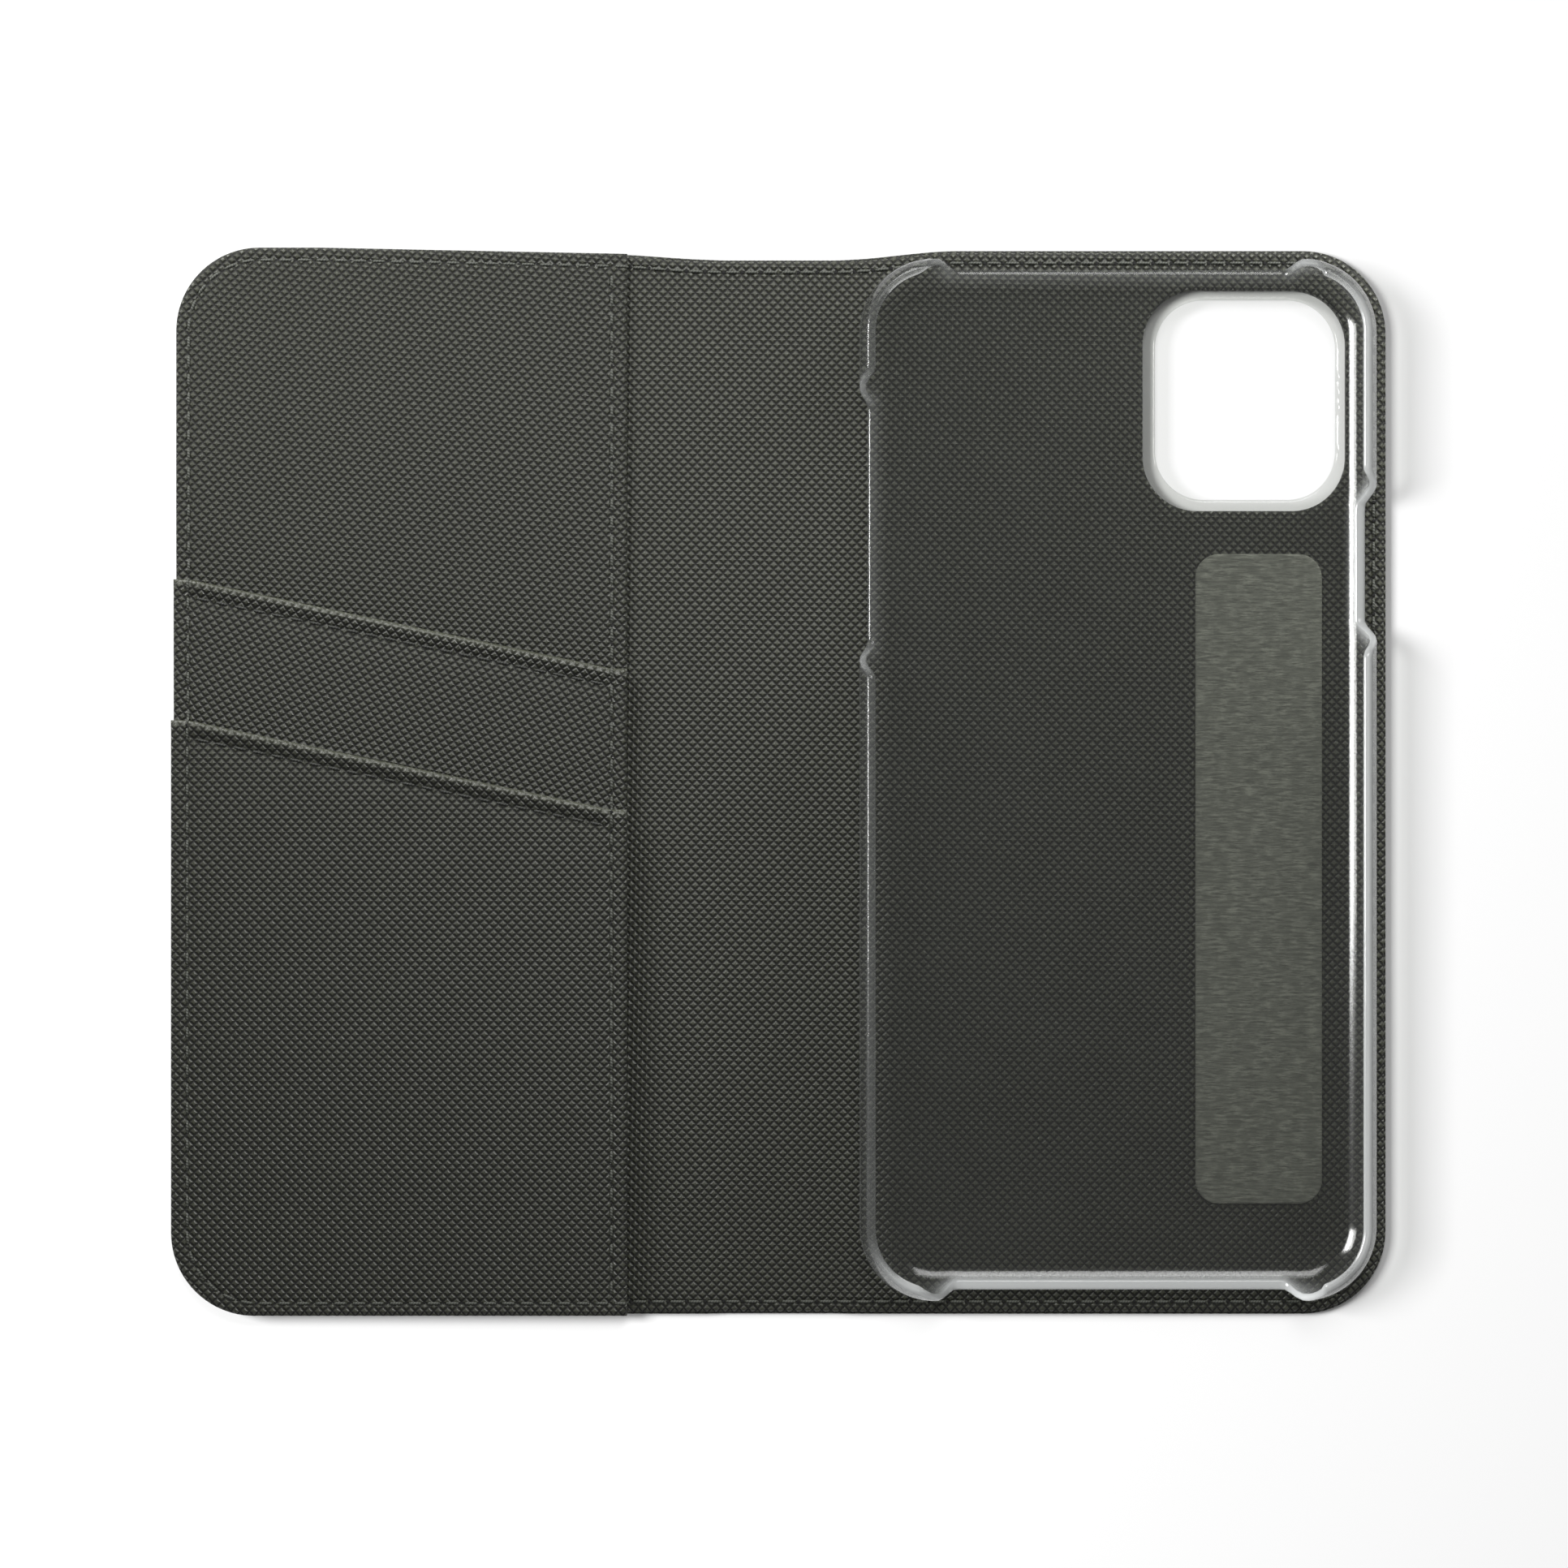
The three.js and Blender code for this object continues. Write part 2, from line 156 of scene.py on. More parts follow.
# Turn of the grain on each panel, in degrees.
LINING_TURN = -0.9
BACKING_TURN = -4.75
UPPER_TURN = -11.0
LOWER_TURN = 0.0
GRAIN_PITCH = 1.016


# ---------------------------------------------------------------- outlines


def arc(x, y, radius, start, end):
    angles = np.radians(np.linspace(start, end, CORNER_STEPS))
    return [(x + radius * math.cos(a), y + radius * math.sin(a)) for a in angles]


def s_curve(x0, y0, x1, y1):
    steps = np.linspace(0, 1, CORNER_STEPS)
    return [(x0 + (x1 - x0) * t, y0 + (y1 - y0) * t * t * (3 - 2 * t)) for t in steps]


def front_outline(inset=0.0, wrap=0.0):
    """The free edge of the front half: from the spine's bottom, round the cover, to the spine's top."""
    left = FRONT_LOW.x + inset - wrap
    bottom = FRONT_LOW.y + inset
    top = FRONT_HIGH.y - inset
    radius = CORNER_RADIUS - inset
    stack_top = top - STACK_TOP_DROP
    spine_top = SPINE_HIGH.y - inset
    return [
        (0, bottom),
        (-FINE_REACH, bottom),
        *arc(left + radius, bottom + radius, radius, 270, 180),
        *arc(left + radius, top - radius, radius, 180, 90),
        (TOP_SLOPE_START_X, top),
        *s_curve(-SPINE_CUT_END_X, stack_top, -SPINE_CUT_HALF_X, spine_top),
        (0, spine_top),
    ]


def back_outline(inset=0.0):
    """The free edge of the back half: from the spine's bottom, round the panel, to the spine's top."""
    right = BACK_HIGH.x - inset
    bottom = BACK_LOW.y + inset
    top = BACK_HIGH.y - inset
    radius = CORNER_RADIUS - inset
    spine_top = SPINE_HIGH.y - inset
    return [
        (0, bottom),
        (FINE_REACH, bottom),
        *arc(right - radius, bottom + radius, radius, -90, 0),
        *arc(right - radius, top - radius, radius, 0, 90),
        *s_curve(SPINE_CUT_END_X, top, SPINE_CUT_HALF_X, spine_top),
        (0, spine_top),
    ]


def rounded_rectangle(centre, size, grow=0.0):
    width, height, radius = size
    radius += grow
    x0 = centre[0] - width / 2 - grow
    x1 = centre[0] + width / 2 + grow
    y0 = centre[1] - height / 2 - grow
    y1 = centre[1] + height / 2 + grow
    return [
        *arc(x1 - radius, y0 + radius, radius, -90, 0),
        *arc(x1 - radius, y1 - radius, radius, 0, 90),
        *arc(x0 + radius, y1 - radius, radius, 90, 180),
        *arc(x0 + radius, y0 + radius, radius, 180, 270),
    ]


def hem_line_y(hem_left_y, x):
    """The height of a slanted hem line, which runs level past the side seam."""
    left = FRONT_LOW.x + LEFT_SEAM_INSET
    right = BACKING_HIGH.x - SIDE_SEAM_INSET
    return hem_left_y - (np.clip(x, left, right) - left) * HEM_SLOPE


def pocket_outline(hem_left_y, wrap):
    """A card pocket: the hem on top, the stack's edge on the right, the cover's edge elsewhere."""
    right = BACKING_HIGH.x
    seam_x = right - SIDE_SEAM_INSET
    end_y = float(hem_line_y(hem_left_y, right))
    outline = front_outline(wrap=wrap)
    left = FRONT_LOW.x - wrap
    edge = [p for p in outline if p[0] < right and p[1] < 0]
    return [
        (right, FRONT_LOW.y),
        *edge,
        (left, hem_left_y),
        (FRONT_LOW.x + LEFT_SEAM_INSET, hem_left_y),
        (seam_x, end_y),
        (right, end_y),
    ]


def backing_outline():
    right = BACKING_HIGH.x
    edge = [p for p in front_outline() if p[0] < right - 1]
    slope = STACK_TOP_DROP / (TOP_SLOPE_START_X + SPINE_CUT_END_X)
    top = FRONT_HIGH.y + (right - TOP_SLOPE_START_X) * slope
    return [(right, FRONT_LOW.y), *edge, (right, top)]


def spaced(line, closed=False):
    """The same line with points at an even step, which is finer across the folds."""
    points = [np.array(p, float) for p in line]
    if closed:
        points.append(points[0])
    made = [points[0]]
    for a, b in zip(points, points[1:]):
        length = float(np.linalg.norm(b - a))
        if length < SAME_PLACE:
            continue
        step = FINE_STEP if abs(a[0] + b[0]) / 2 < FINE_REACH else EDGE_STEP
        count = max(1, math.ceil(length / step))
        made += [a + (b - a) * k / count for k in range(1, count + 1)]
    if closed:
        made.pop()
    return np.array(made)


# ---------------------------------------------------------------- flat meshes


def to_line(points, line):
    """How far each point is from a line of points."""
    starts = line[:-1]
    steps = line[1:] - starts
    squares = np.maximum((steps**2).sum(1), 1e-12)
    found = []
    for part in np.array_split(points, max(1, len(points) // POINTS_AT_ONCE)):
        gaps = part[:, None] - starts[None]
        t = np.clip((gaps * steps).sum(2) / squares, 0, 1)
        found.append(np.sqrt(((gaps - t[..., None] * steps) ** 2).sum(2).min(1)))
    return np.concatenate(found)


def is_inside(points, loop):
    inside = np.zeros(len(points), bool)
    x, y = points[:, 0], points[:, 1]
    for (x0, y0), (x1, y1) in zip(loop, np.roll(loop, -1, 0)):
        if y0 == y1:
            continue
        crosses = (y0 > y) != (y1 > y)
        inside ^= crosses & (x < x0 + (y - y0) * (x1 - x0) / (y1 - y0))
    return inside


def closed_line(loop):
    return np.vstack([loop, loop[:1]])


def offset(loop, distance):
    """Points set off to the left of a closed loop by a distance."""
    ahead = np.roll(loop, -1, 0) - loop
    ahead /= np.linalg.norm(ahead, axis=1)[:, None]
    tangent = ahead + np.roll(ahead, 1, 0)
    tangent /= np.maximum(np.linalg.norm(tangent, axis=1), 1e-9)[:, None]
    return loop + distance * np.stack([-tangent[:, 1], tangent[:, 0]], 1)


def area_of(loop):
    ahead = np.roll(loop, -1, 0)
    return float((loop[:, 0] * ahead[:, 1] - ahead[:, 0] * loop[:, 1]).sum() / 2)


def grid_points(loop):
    """A grid over a loop's box, with finer columns across the folds."""
    low, high = loop.min(0), loop.max(0)
    columns = [x for x in np.arange(low[0], high[0], GRID_STEP) if abs(x) > FINE_REACH]
    columns += [x for x in np.arange(-FINE_REACH, FINE_REACH + 0.1, FINE_STEP) if low[0] < x < high[0]]
    rows = np.arange(low[1], high[1], GRID_STEP)
    return np.array([(x, y) for x in columns for y in rows])


def wound(loop, way):
    """A loop that runs counter-clockwise for 1 and clockwise for -1."""
    loop = np.array(loop)
    return loop[::-1] if area_of(loop) * way < 0 else loop


def is_on(points, cut_x):
    return np.abs(points[:, 0] - cut_x) < SAME_PLACE


def opened(loop, cut_x):
    """The free edge of a loop that has one straight cut, and the loop with points along the cut."""
    on_cut = is_on(loop, cut_x)
    start = int(np.argmax(on_cut & np.roll(on_cut, 1)))
    free = np.roll(loop, -start, 0)
    count = int(abs(free[0][1] - free[-1][1]) / GRID_STEP)
    steps = np.arange(1, count)[:, None] / count
    return free, np.vstack([free, free[-1] + (free[0] - free[-1]) * steps])


def ring_points(loop, free, ring, cut_x):
    """Points at one distance in from the free edge. On a cut sheet their line ends on the cut."""
    moved = offset(loop, ring)
    if cut_x is not None:
        on_cut = is_on(loop, cut_x)
        ends = on_cut & (to_line(loop, free) < SAME_PLACE)
        moved[on_cut] = loop[on_cut]
        signs = np.where(loop[:, 1] < 0, 1, -1)
        moved[ends, 1] += ring * signs[ends]
        moved = moved[~on_cut | ends]
    inside = is_inside(moved, loop)
    if cut_x is not None:
        inside |= is_on(moved, cut_x)
    return moved[inside & (to_line(moved, free) > ring - RING_SLACK)]


def triangulated(points, edges, loop, holes):
    """The points and triangles of a flat mesh that fills a loop except for its holes."""
    result = delaunay_2d_cdt([Vector(p) for p in points], edges, [], 0, MERGE_REACH)
    points = np.array([tuple(v) for v in result[0]])
    triangles = np.array([f for f in result[2] if len(f) == 3])
    centres = points[triangles].mean(1)
    keep = is_inside(centres, loop)
    for hole in holes:
        keep &= ~is_inside(centres, hole)
    triangles = triangles[keep]
    a, b, c = (points[triangles[:, k]] for k in range(3))
    turn = (b[:, 0] - a[:, 0]) * (c[:, 1] - a[:, 1]) - (b[:, 1] - a[:, 1]) * (c[:, 0] - a[:, 0])
    triangles[turn < 0] = triangles[turn < 0][:, ::-1]
    triangles = triangles[np.abs(turn) > LEAST_AREA]
    used = np.unique(triangles)
    renumbered = np.full(len(points), -1)
    renumbered[used] = np.arange(len(used))
    return points[used], renumbered[triangles]


class Flat:
    """A triangulated flat sheet, with each point's distance to the free edge and to the holes."""

    def __init__(self, outline, cut_x=None, holes=(), rings=EDGE_RINGS):
        loop = wound(outline, 1)
        free = closed_line(loop)
        if cut_x is not None:
            free, loop = opened(loop, cut_x)
        hole_loops = [wound(h, -1) for h in holes]
        sets = [(loop, True)]
        sets += [(ring_points(loop, free, ring, cut_x), False) for ring in rings]
        grid = grid_points(loop)
        grid = grid[is_inside(grid, loop)]
        if rings:
            grid = grid[to_line(grid, free) > rings[-1] + GRID_STEP / 3]
        for hole in hole_loops:
            sets.append((hole, True))
            sets += [(offset(hole, ring), False) for ring in HOLE_RINGS]
            clear_of_hole = to_line(grid, closed_line(hole)) > HOLE_RINGS[-1] + HOLE_MARGIN
            grid = grid[~is_inside(grid, hole) & clear_of_hole]
        sets.append((grid, False))
        edges = []
        first = 0
        for points, is_loop in sets:
            count = len(points)
            if is_loop:
                edges += [(first + i, first + (i + 1) % count) for i in range(count)]
            first += count
        points = np.vstack([points for points, is_loop in sets])
        self.points, self.triangles = triangulated(points, edges, loop, hole_loops)
        self.edge = to_line(self.points, free)
        self.hole = np.full(len(self.points), NO_HOLE)
        for hole in hole_loops:
            self.hole = np.minimum(self.hole, to_line(self.points, closed_line(hole)))

    def border(self):
        """The directed edges that only one triangle has."""
        pairs = self.triangles[:, [0, 1, 1, 2, 2, 0]].reshape(-1, 2)
        known = {tuple(p) for p in pairs.tolist()}
        return [p for p in known if (p[1], p[0]) not in known]


def made_object(name, points, faces, uvs, materials, flat_faces=()):
    """A mesh object from points in millimetres, with its sheet coordinates in millimetres as a UV layer.
    Flat faces are shaded flat, and the edges round them stay sharp."""
    mesh = bpy.data.meshes.new(name)
    mesh.from_pydata([Vector(p) * MM for p in points], [], [list(map(int, f)) for f in faces])
    layer = mesh.uv_layers.new(name="sheet")
    corners = np.zeros(len(mesh.loops), np.int32)
    mesh.loops.foreach_get("vertex_index", corners)
    layer.data.foreach_set("uv", np.asarray(uvs, np.float32)[corners].ravel())
    mesh.polygons.foreach_set("use_smooth", np.ones(len(mesh.polygons), bool))
    sharp = set()
    for f in flat_faces:
        mesh.polygons[f].use_smooth = False
        sharp.update(mesh.polygons[f].edge_keys)
    for edge in mesh.edges:
        edge.use_edge_sharp = edge.key in sharp
    for material in materials:
        mesh.materials.append(material)
    made = bpy.data.objects.new(name, mesh)
    bpy.context.scene.collection.objects.link(made)
    return made


def set_attribute(made, name, values):
    """Give each point of a piece a value that its material can read."""
    layer = made.data.attributes.new(name, "FLOAT", "POINT")
    layer.data.foreach_set("value", values)


def turned(points, degrees):
    """Sheet coordinates turned clockwise, so that the grain on them turns counter-clockwise."""
    angle = math.radians(-degrees)
    x, y = points[:, 0], points[:, 1]
    across = x * math.cos(angle) - y * math.sin(angle)
    up = x * math.sin(angle) + y * math.cos(angle)
    return np.stack([across, up], 1)


def sheet_object(name, flat, top, bottom, material, grain_turn=0.0):
    """A closed sheet over a flat mesh, between two heights."""
    count = len(flat.points)
    points = np.vstack([np.column_stack([flat.points, top]), np.column_stack([flat.points, bottom])])
    faces = flat.triangles.tolist() + (flat.triangles[:, ::-1] + count).tolist()
    cut_faces = []
    for a, b in flat.border():
        if min(flat.edge[a], flat.hole[a]) > ON_EDGE or min(flat.edge[b], flat.hole[b]) > ON_EDGE:
            cut_faces.append(len(faces))
        faces.append([a + count, b + count, b, a])
    uvs = turned(flat.points, grain_turn)
    return made_object(name, points, faces, np.vstack([uvs, uvs]), [material], cut_faces)


# ---------------------------------------------------------------- heights


def smooth(t):
    t = np.clip(t, 0, 1)
    return t * t * (3 - 2 * t)


def round_off(distance, radius, depth):
    """How far a rounded edge has dropped at a distance in from it."""
    t = 1 - np.clip(distance / radius, 0, 1)
    return depth * (1 - np.sqrt(np.maximum(1 - t * t, 0)))


def dent(distance):
    """The dent of a seam, at a distance from its line."""
    return SEAM_DENT * np.exp(-((distance / SEAM_DENT_WIDTH) ** 2))


# Slow waves, the dip over the spine, and the dip of a layer just above the hem that lies on it.
WAVE_LENGTH = 21.0
WAVE_HEIGHT = 0.05
SPINE_DIP = 0.2
SPINE_DIP_EDGE_X = 8
SPINE_DIP_RUN_X = 4.5
MOUTH_DIP = 0.22
MOUTH_REACH = 3.0
MOUTH_OVERLAP = 1

# Rounded edges above and below: how wide the rounding is, and how far it drops or rises.
LINING_EDGE = (0.9, 0.35)
LINING_UNDER = (0.3, 0.05)
PANEL_EDGE = (0.8, LAYER_THICK * 0.7)
PANEL_UNDER = (0.35, 0.08)
SKIN_EDGE = (0.45, 0.25)
SKIN_UNDER = (0.9, 0.7)

# The outer skin's turned-up rim round the panels, which is lower round the spine.
RIM_HEIGHT = 0.8
RIM_START_X = 8
RIM_RUN_X = 4
RIM_WIDTH = 1.2
SPINE_RIM_HEIGHT = 0.35
SPINE_RIM_WIDTH = 0.5
RIM_FALL = 0.8

# The fall of a hem from its crest to its seam, and how it flattens at both ends.
HEM_SPILL = 0.1
HEM_FALL_RATE = 1.05
HEM_CREST = 0.1
HEM_FALL = 0.95
HEM_SEAM_GAP = 0.25
HEM_SEAM_DEPTH = 1.2
HEM_LEFT_END = 1.4
HEM_RIGHT_END = 1.9
HEM_END_RUN = 1.6
HEM_END_RAISE = 0.35

LAYER_GAP = 0.02
LEAST_THICK = 0.12


def waves(points):
    """Slow unevenness that the layers share."""
    return np.array([WAVE_HEIGHT * noise.noise(Vector((x, y, 0)) / WAVE_LENGTH) for x, y in points])


def lining_rise(x):
    """The top of the lining: high over the boards, lower over the spine and its folds."""
    spine_top = LINING_HIGH.z - SPINE_DIP
    return spine_top + (LINING_HIGH.z - spine_top) * smooth((np.abs(x) - SPINE_DIP_EDGE_X) / SPINE_DIP_RUN_X)


def side_seam_distance(points):
    return np.abs(points[:, 0] - (BACKING_HIGH.x - SIDE_SEAM_INSET))


def lining_top(points, edge, hole):
    drop = round_off(np.minimum(edge, hole), *LINING_EDGE)
    return lining_rise(points[:, 0]) + waves(points) - drop - dent(edge - SEAM_INSET + LINING_INSET)


def panel_top(points, edge, level):
    """The top of a pocket layer, rolled over at its edges and dented by the seams."""
    drop = round_off(edge, *PANEL_EDGE)
    seams = dent(to_cover_edge(points) - SEAM_INSET) + dent(side_seam_distance(points))
    return level + waves(points) - drop - seams


def below_hem(points, hem_left_y):
    """How far below a slanted hem line each point lies."""
    run = np.clip(points[:, 0], FRONT_LOW.x + LEFT_SEAM_INSET, BACKING_HIGH.x - SIDE_SEAM_INSET)
    return (hem_line_y(hem_left_y, run) - points[:, 1]) * math.cos(math.atan(HEM_SLOPE))


def mouth_dip(points, hem_left_y):
    """How far a layer is pressed down just above the hem that lies on it."""
    above = np.maximum(-below_hem(points, hem_left_y), 0)
    return MOUTH_DIP * np.exp(-above / MOUTH_REACH)


def hem_roll(points, hem_left_y):
    """The raised band along a pocket's hem, with its seam below."""
    below = below_hem(points, hem_left_y)
    t = np.clip(below / (HEM_WIDTH + HEM_SPILL), 0, 1)
    roll = HEM_RAISE * (1 - smooth(t * HEM_FALL_RATE - HEM_CREST) * HEM_FALL)
    from_left = smooth((points[:, 0] - FRONT_LOW.x - HEM_LEFT_END) / HEM_END_RUN)
    from_right = smooth((BACKING_HIGH.x - HEM_RIGHT_END - points[:, 0]) / HEM_END_RUN)
    seam = dent(below - HEM_WIDTH - HEM_SEAM_GAP) * HEM_SEAM_DEPTH
    return (roll - seam) * (HEM_END_RAISE + (1 - HEM_END_RAISE) * (from_left * from_right))


COVER_EDGE = spaced(front_outline())


def to_cover_edge(points):
    return to_line(points, COVER_EDGE)


def card_top(points, edge, level, hem_left_y):
    return panel_top(points, edge, level) + hem_roll(points, hem_left_y)


def upper_top(points, edge):
    top = card_top(points, edge, UPPER_LEVEL, UPPER_HIGH.y)
    is_mouth = points[:, 1] > hem_line_y(LOWER_HIGH.y, points[:, 0]) - MOUTH_OVERLAP
    return top - mouth_dip(points, LOWER_HIGH.y) * is_mouth


def lower_top(points, edge):
    return card_top(points, edge, LOWER_LEVEL, LOWER_HIGH.y)


def backing_top(points, edge):
    return panel_top(points, edge, BACKING_HIGH.z) - mouth_dip(points, UPPER_HIGH.y)


def pocket_bottom(points, edge, level):
    return level - LAYER_THICK + waves(points) + round_off(edge, *PANEL_UNDER)


# How far the CAD hems stand above their panels.
CAD_HEM_RAISE = 0.35


def bare_level(high):
    """The level of a pocket's panel, without the raised hem that its CAD box includes."""
    return high.z - CAD_HEM_RAISE


UPPER_LEVEL = bare_level(UPPER_HIGH)
LOWER_LEVEL = bare_level(LOWER_HIGH)


def front_surface(points):
    """The top of whatever covers each point of the front half."""
    x, y = points[:, 0], points[:, 1]
    far = np.full(len(points), PANEL_EDGE[0])
    found = lining_rise(x) + waves(points)
    stack = x < BACKING_HIGH.x
    found = np.where(stack, backing_top(points, far), found)
    upper = stack & (y < hem_line_y(UPPER_HIGH.y, x))
    found = np.where(upper, upper_top(points, far), found)
    lower = stack & (y < hem_line_y(LOWER_HIGH.y, x))
    return np.where(lower, lower_top(points, far), found)


def back_surface(points):
    return lining_rise(points[:, 0]) + waves(points)


# ---------------------------------------------------------------- materials


class Shader:
    """A material's nodes, with short calls for the ones used here."""

    def __init__(self, name):
        self.material = bpy.data.materials.new(name)
        self.material.use_nodes = True
        self.tree = self.material.node_tree
        self.surface = self.tree.nodes["Principled BSDF"]
        self.output = self.tree.nodes["Material Output"]

    def put(self, socket, value):
        if isinstance(value, bpy.types.NodeSocket):
            self.tree.links.new(value, socket)
        else:
            socket.default_value = value

    def node(self, kind, inputs=(), **settings):
        made = self.tree.nodes.new(kind)
        for key, value in settings.items():
            setattr(made, key, value)
        for key, value in dict(inputs).items():
            self.put(made.inputs[key], value)
        return made

    def math(self, operation, a, b=0.0, clamp=False):
        made = self.node("ShaderNodeMath", {0: a, 1: b}, operation=operation, use_clamp=clamp)
        return made.outputs[0]

    def ramp(self, value, low, high, to_low=0.0, to_high=1.0):
        made = self.node(
            "ShaderNodeMapRange",
            {"Value": value, "From Min": low, "From Max": high, "To Min": to_low, "To Max": to_high},
            interpolation_type="SMOOTHSTEP",
        )
        return made.outputs["Result"]

    def sheet(self):
        """The sheet coordinates of a piece, in millimetres."""
        return self.node("ShaderNodeUVMap", uv_map="sheet").outputs["UV"]

    def noise(self, place, scale, detail=2.0, roughness=0.5):
        made = self.node(
            "ShaderNodeTexNoise",
            {"Vector": place, "Scale": scale, "Detail": detail, "Roughness": roughness},
        )
        return made.outputs["Fac"]

    def mix(self, factor, a, b):
        made = self.node("ShaderNodeMix", data_type="RGBA")
        self.put(made.inputs[0], factor)
        self.put(made.inputs[6], a)
        self.put(made.inputs[7], b)
        return made.outputs[2]

    def vector(self, operation, a, b, second=1):
        made = self.node("ShaderNodeVectorMath", {0: a, second: b}, operation=operation)
        return made.outputs[0]

    def look(self, colour, roughness, height=None, depth=0.0):
        """Set the surface's colour and roughness and, if it has a relief, its height and depth."""
        self.put(self.surface.inputs["Base Color"], colour)
        self.put(self.surface.inputs["Roughness"], roughness)
        if height is not None:
            bump = self.node("ShaderNodeBump", {"Height": height, "Distance": depth * MM, "Strength": 1.0})
            self.put(self.surface.inputs["Normal"], bump.outputs["Normal"])


def shade(colour, factor):
    return (*(min(1.0, c * factor) for c in colour), 1.0)


def slot_colour(slot):
    """The record's colour for a material slot."""
    found = next(m for m in frame["record"]["materials"] if m["slot"] == slot)
    return found["base_color"][:3]


# The grain's squares: how its lines wander, the round of their corners, and their bevels.
WANDER_SCALE = 0.55
WANDER_REACH = 0.12
CORNER_ROUND = 0.06
BEVEL_FROM = 0.1
BEVEL_TO = 0.66
BEVEL_RISE = 0.85
CROWN_RISE = 0.12
LOWEST_SQUARE = 0.85
GRAIN_DEPTH = 0.27
FINE_GRAIN_RISE = 0.08

# The leather's looks: a groove is painted dark as shade, a square is bright, and a hem's crest is painted
# brightest as a highlight.
LEATHER_TINT = (1.0, 1.0, 0.88)
LEATHER_TONE = 0.78
LEATHER_ROUGHNESS = 0.34
GROOVE_FROM = 0.08
GROOVE_TO = 0.38
GROOVE_PAINTED_SHADE = 0.02
GROOVE_ROUGHER = 0.4
DARK_SQUARE = 0.85
BRIGHT_SQUARE = 1.12
CREST_PAINTED_HIGHLIGHT = 1.4
CREST_COVER = 0.8
CREST_FLATTER = 0.6
CLOUD_TONE = 0.75
CLOUD_SHARE = 0.25


def wandering(s):
    """The sheet coordinates, a little unsteady, as pressed grain is."""
    place = s.sheet()
    wander = s.node("ShaderNodeTexNoise", {"Vector": place, "Scale": WANDER_SCALE, "Detail": 1.0})
    step = s.vector("SUBTRACT", wander.outputs["Color"], (0.5, 0.5, 0.5))
    return s.vector("ADD", place, s.vector("SCALE", step, WANDER_REACH, "Scale"))


def grain_squares(s, place):
    """How far in a point is from its square's edge, from 0 to 1, and a chance value for the square."""
    parts = s.node("ShaderNodeSeparateXYZ", {0: place})
    across = 1 / (GRAIN_PITCH * math.sqrt(2))
    a = s.math("MULTIPLY", s.math("ADD", parts.outputs[0], parts.outputs[1]), across)
    b = s.math("MULTIPLY", s.math("SUBTRACT", parts.outputs[1], parts.outputs[0]), across)
    side_a = s.math("MULTIPLY", s.math("PINGPONG", a, 0.5), 2.0)
    side_b = s.math("MULTIPLY", s.math("PINGPONG", b, 0.5), 2.0)
    nearest = s.node("ShaderNodeMath", {0: side_a, 1: side_b, 2: CORNER_ROUND}, operation="SMOOTH_MIN")
    cell = s.node("ShaderNodeCombineXYZ", {0: s.math("FLOOR", a), 1: s.math("FLOOR", b)}).outputs[0]
    chance = s.node("ShaderNodeTexWhiteNoise", {"Vector": cell}, noise_dimensions="3D").outputs["Value"]
    return nearest.outputs[0], chance


def leather(slot):
    """Embossed faux leather: rows of raised squares with bevelled edges, set at 45 degrees."""
    s = Shader(slot)
    colour = [c * t * LEATHER_TONE for c, t in zip(slot_colour(slot), LEATHER_TINT)]
    place = wandering(s)
    nearest, chance = grain_squares(s, place)
    crest = s.node("ShaderNodeAttribute", attribute_name=ROLL).outputs["Fac"]
    fine = s.noise(place, 6.5, 3.0, 0.6)
    cloud = s.noise(place, 0.05, 3.0)

    bevel = s.ramp(nearest, BEVEL_FROM, BEVEL_TO)
    square = s.math("ADD", s.math("MULTIPLY", bevel, BEVEL_RISE), s.math("MULTIPLY", nearest, CROWN_RISE))
    rise = s.math("MULTIPLY", square, s.ramp(chance, 0.0, 1.0, LOWEST_SQUARE, 1.0))
    height = s.math("ADD", rise, s.math("MULTIPLY", fine, FINE_GRAIN_RISE))
    height = s.math("MULTIPLY", height, s.math("SUBTRACT", 1.0, s.math("MULTIPLY", crest, CREST_FLATTER)))

    out_of_groove = s.ramp(nearest, GROOVE_FROM, GROOVE_TO)
    out_of_groove = s.math("MAXIMUM", out_of_groove, s.math("MULTIPLY", crest, CREST_COVER))
    high = s.mix(chance, shade(colour, DARK_SQUARE), shade(colour, BRIGHT_SQUARE))
    # Painted highlight: a hem's rolled crest is coloured brighter.
    high = s.mix(crest, high, shade(colour, CREST_PAINTED_HIGHLIGHT))
    high = s.mix(s.ramp(cloud, 0.3, 0.7, 0.0, CLOUD_SHARE), high, shade(colour, CLOUD_TONE))
    # Painted shade: the grooves between the squares are coloured near black.
    base = s.mix(out_of_groove, shade(colour, GROOVE_PAINTED_SHADE), high)
    shine = s.ramp(fine, 0.2, 0.8, LEATHER_ROUGHNESS - 0.06, LEATHER_ROUGHNESS + 0.08)
    rougher = s.ramp(out_of_groove, 0.0, 1.0, GROOVE_ROUGHER, 0.0)
    s.look(base, s.math("ADD", shine, rougher, clamp=True), height, GRAIN_DEPTH)
    return s.material


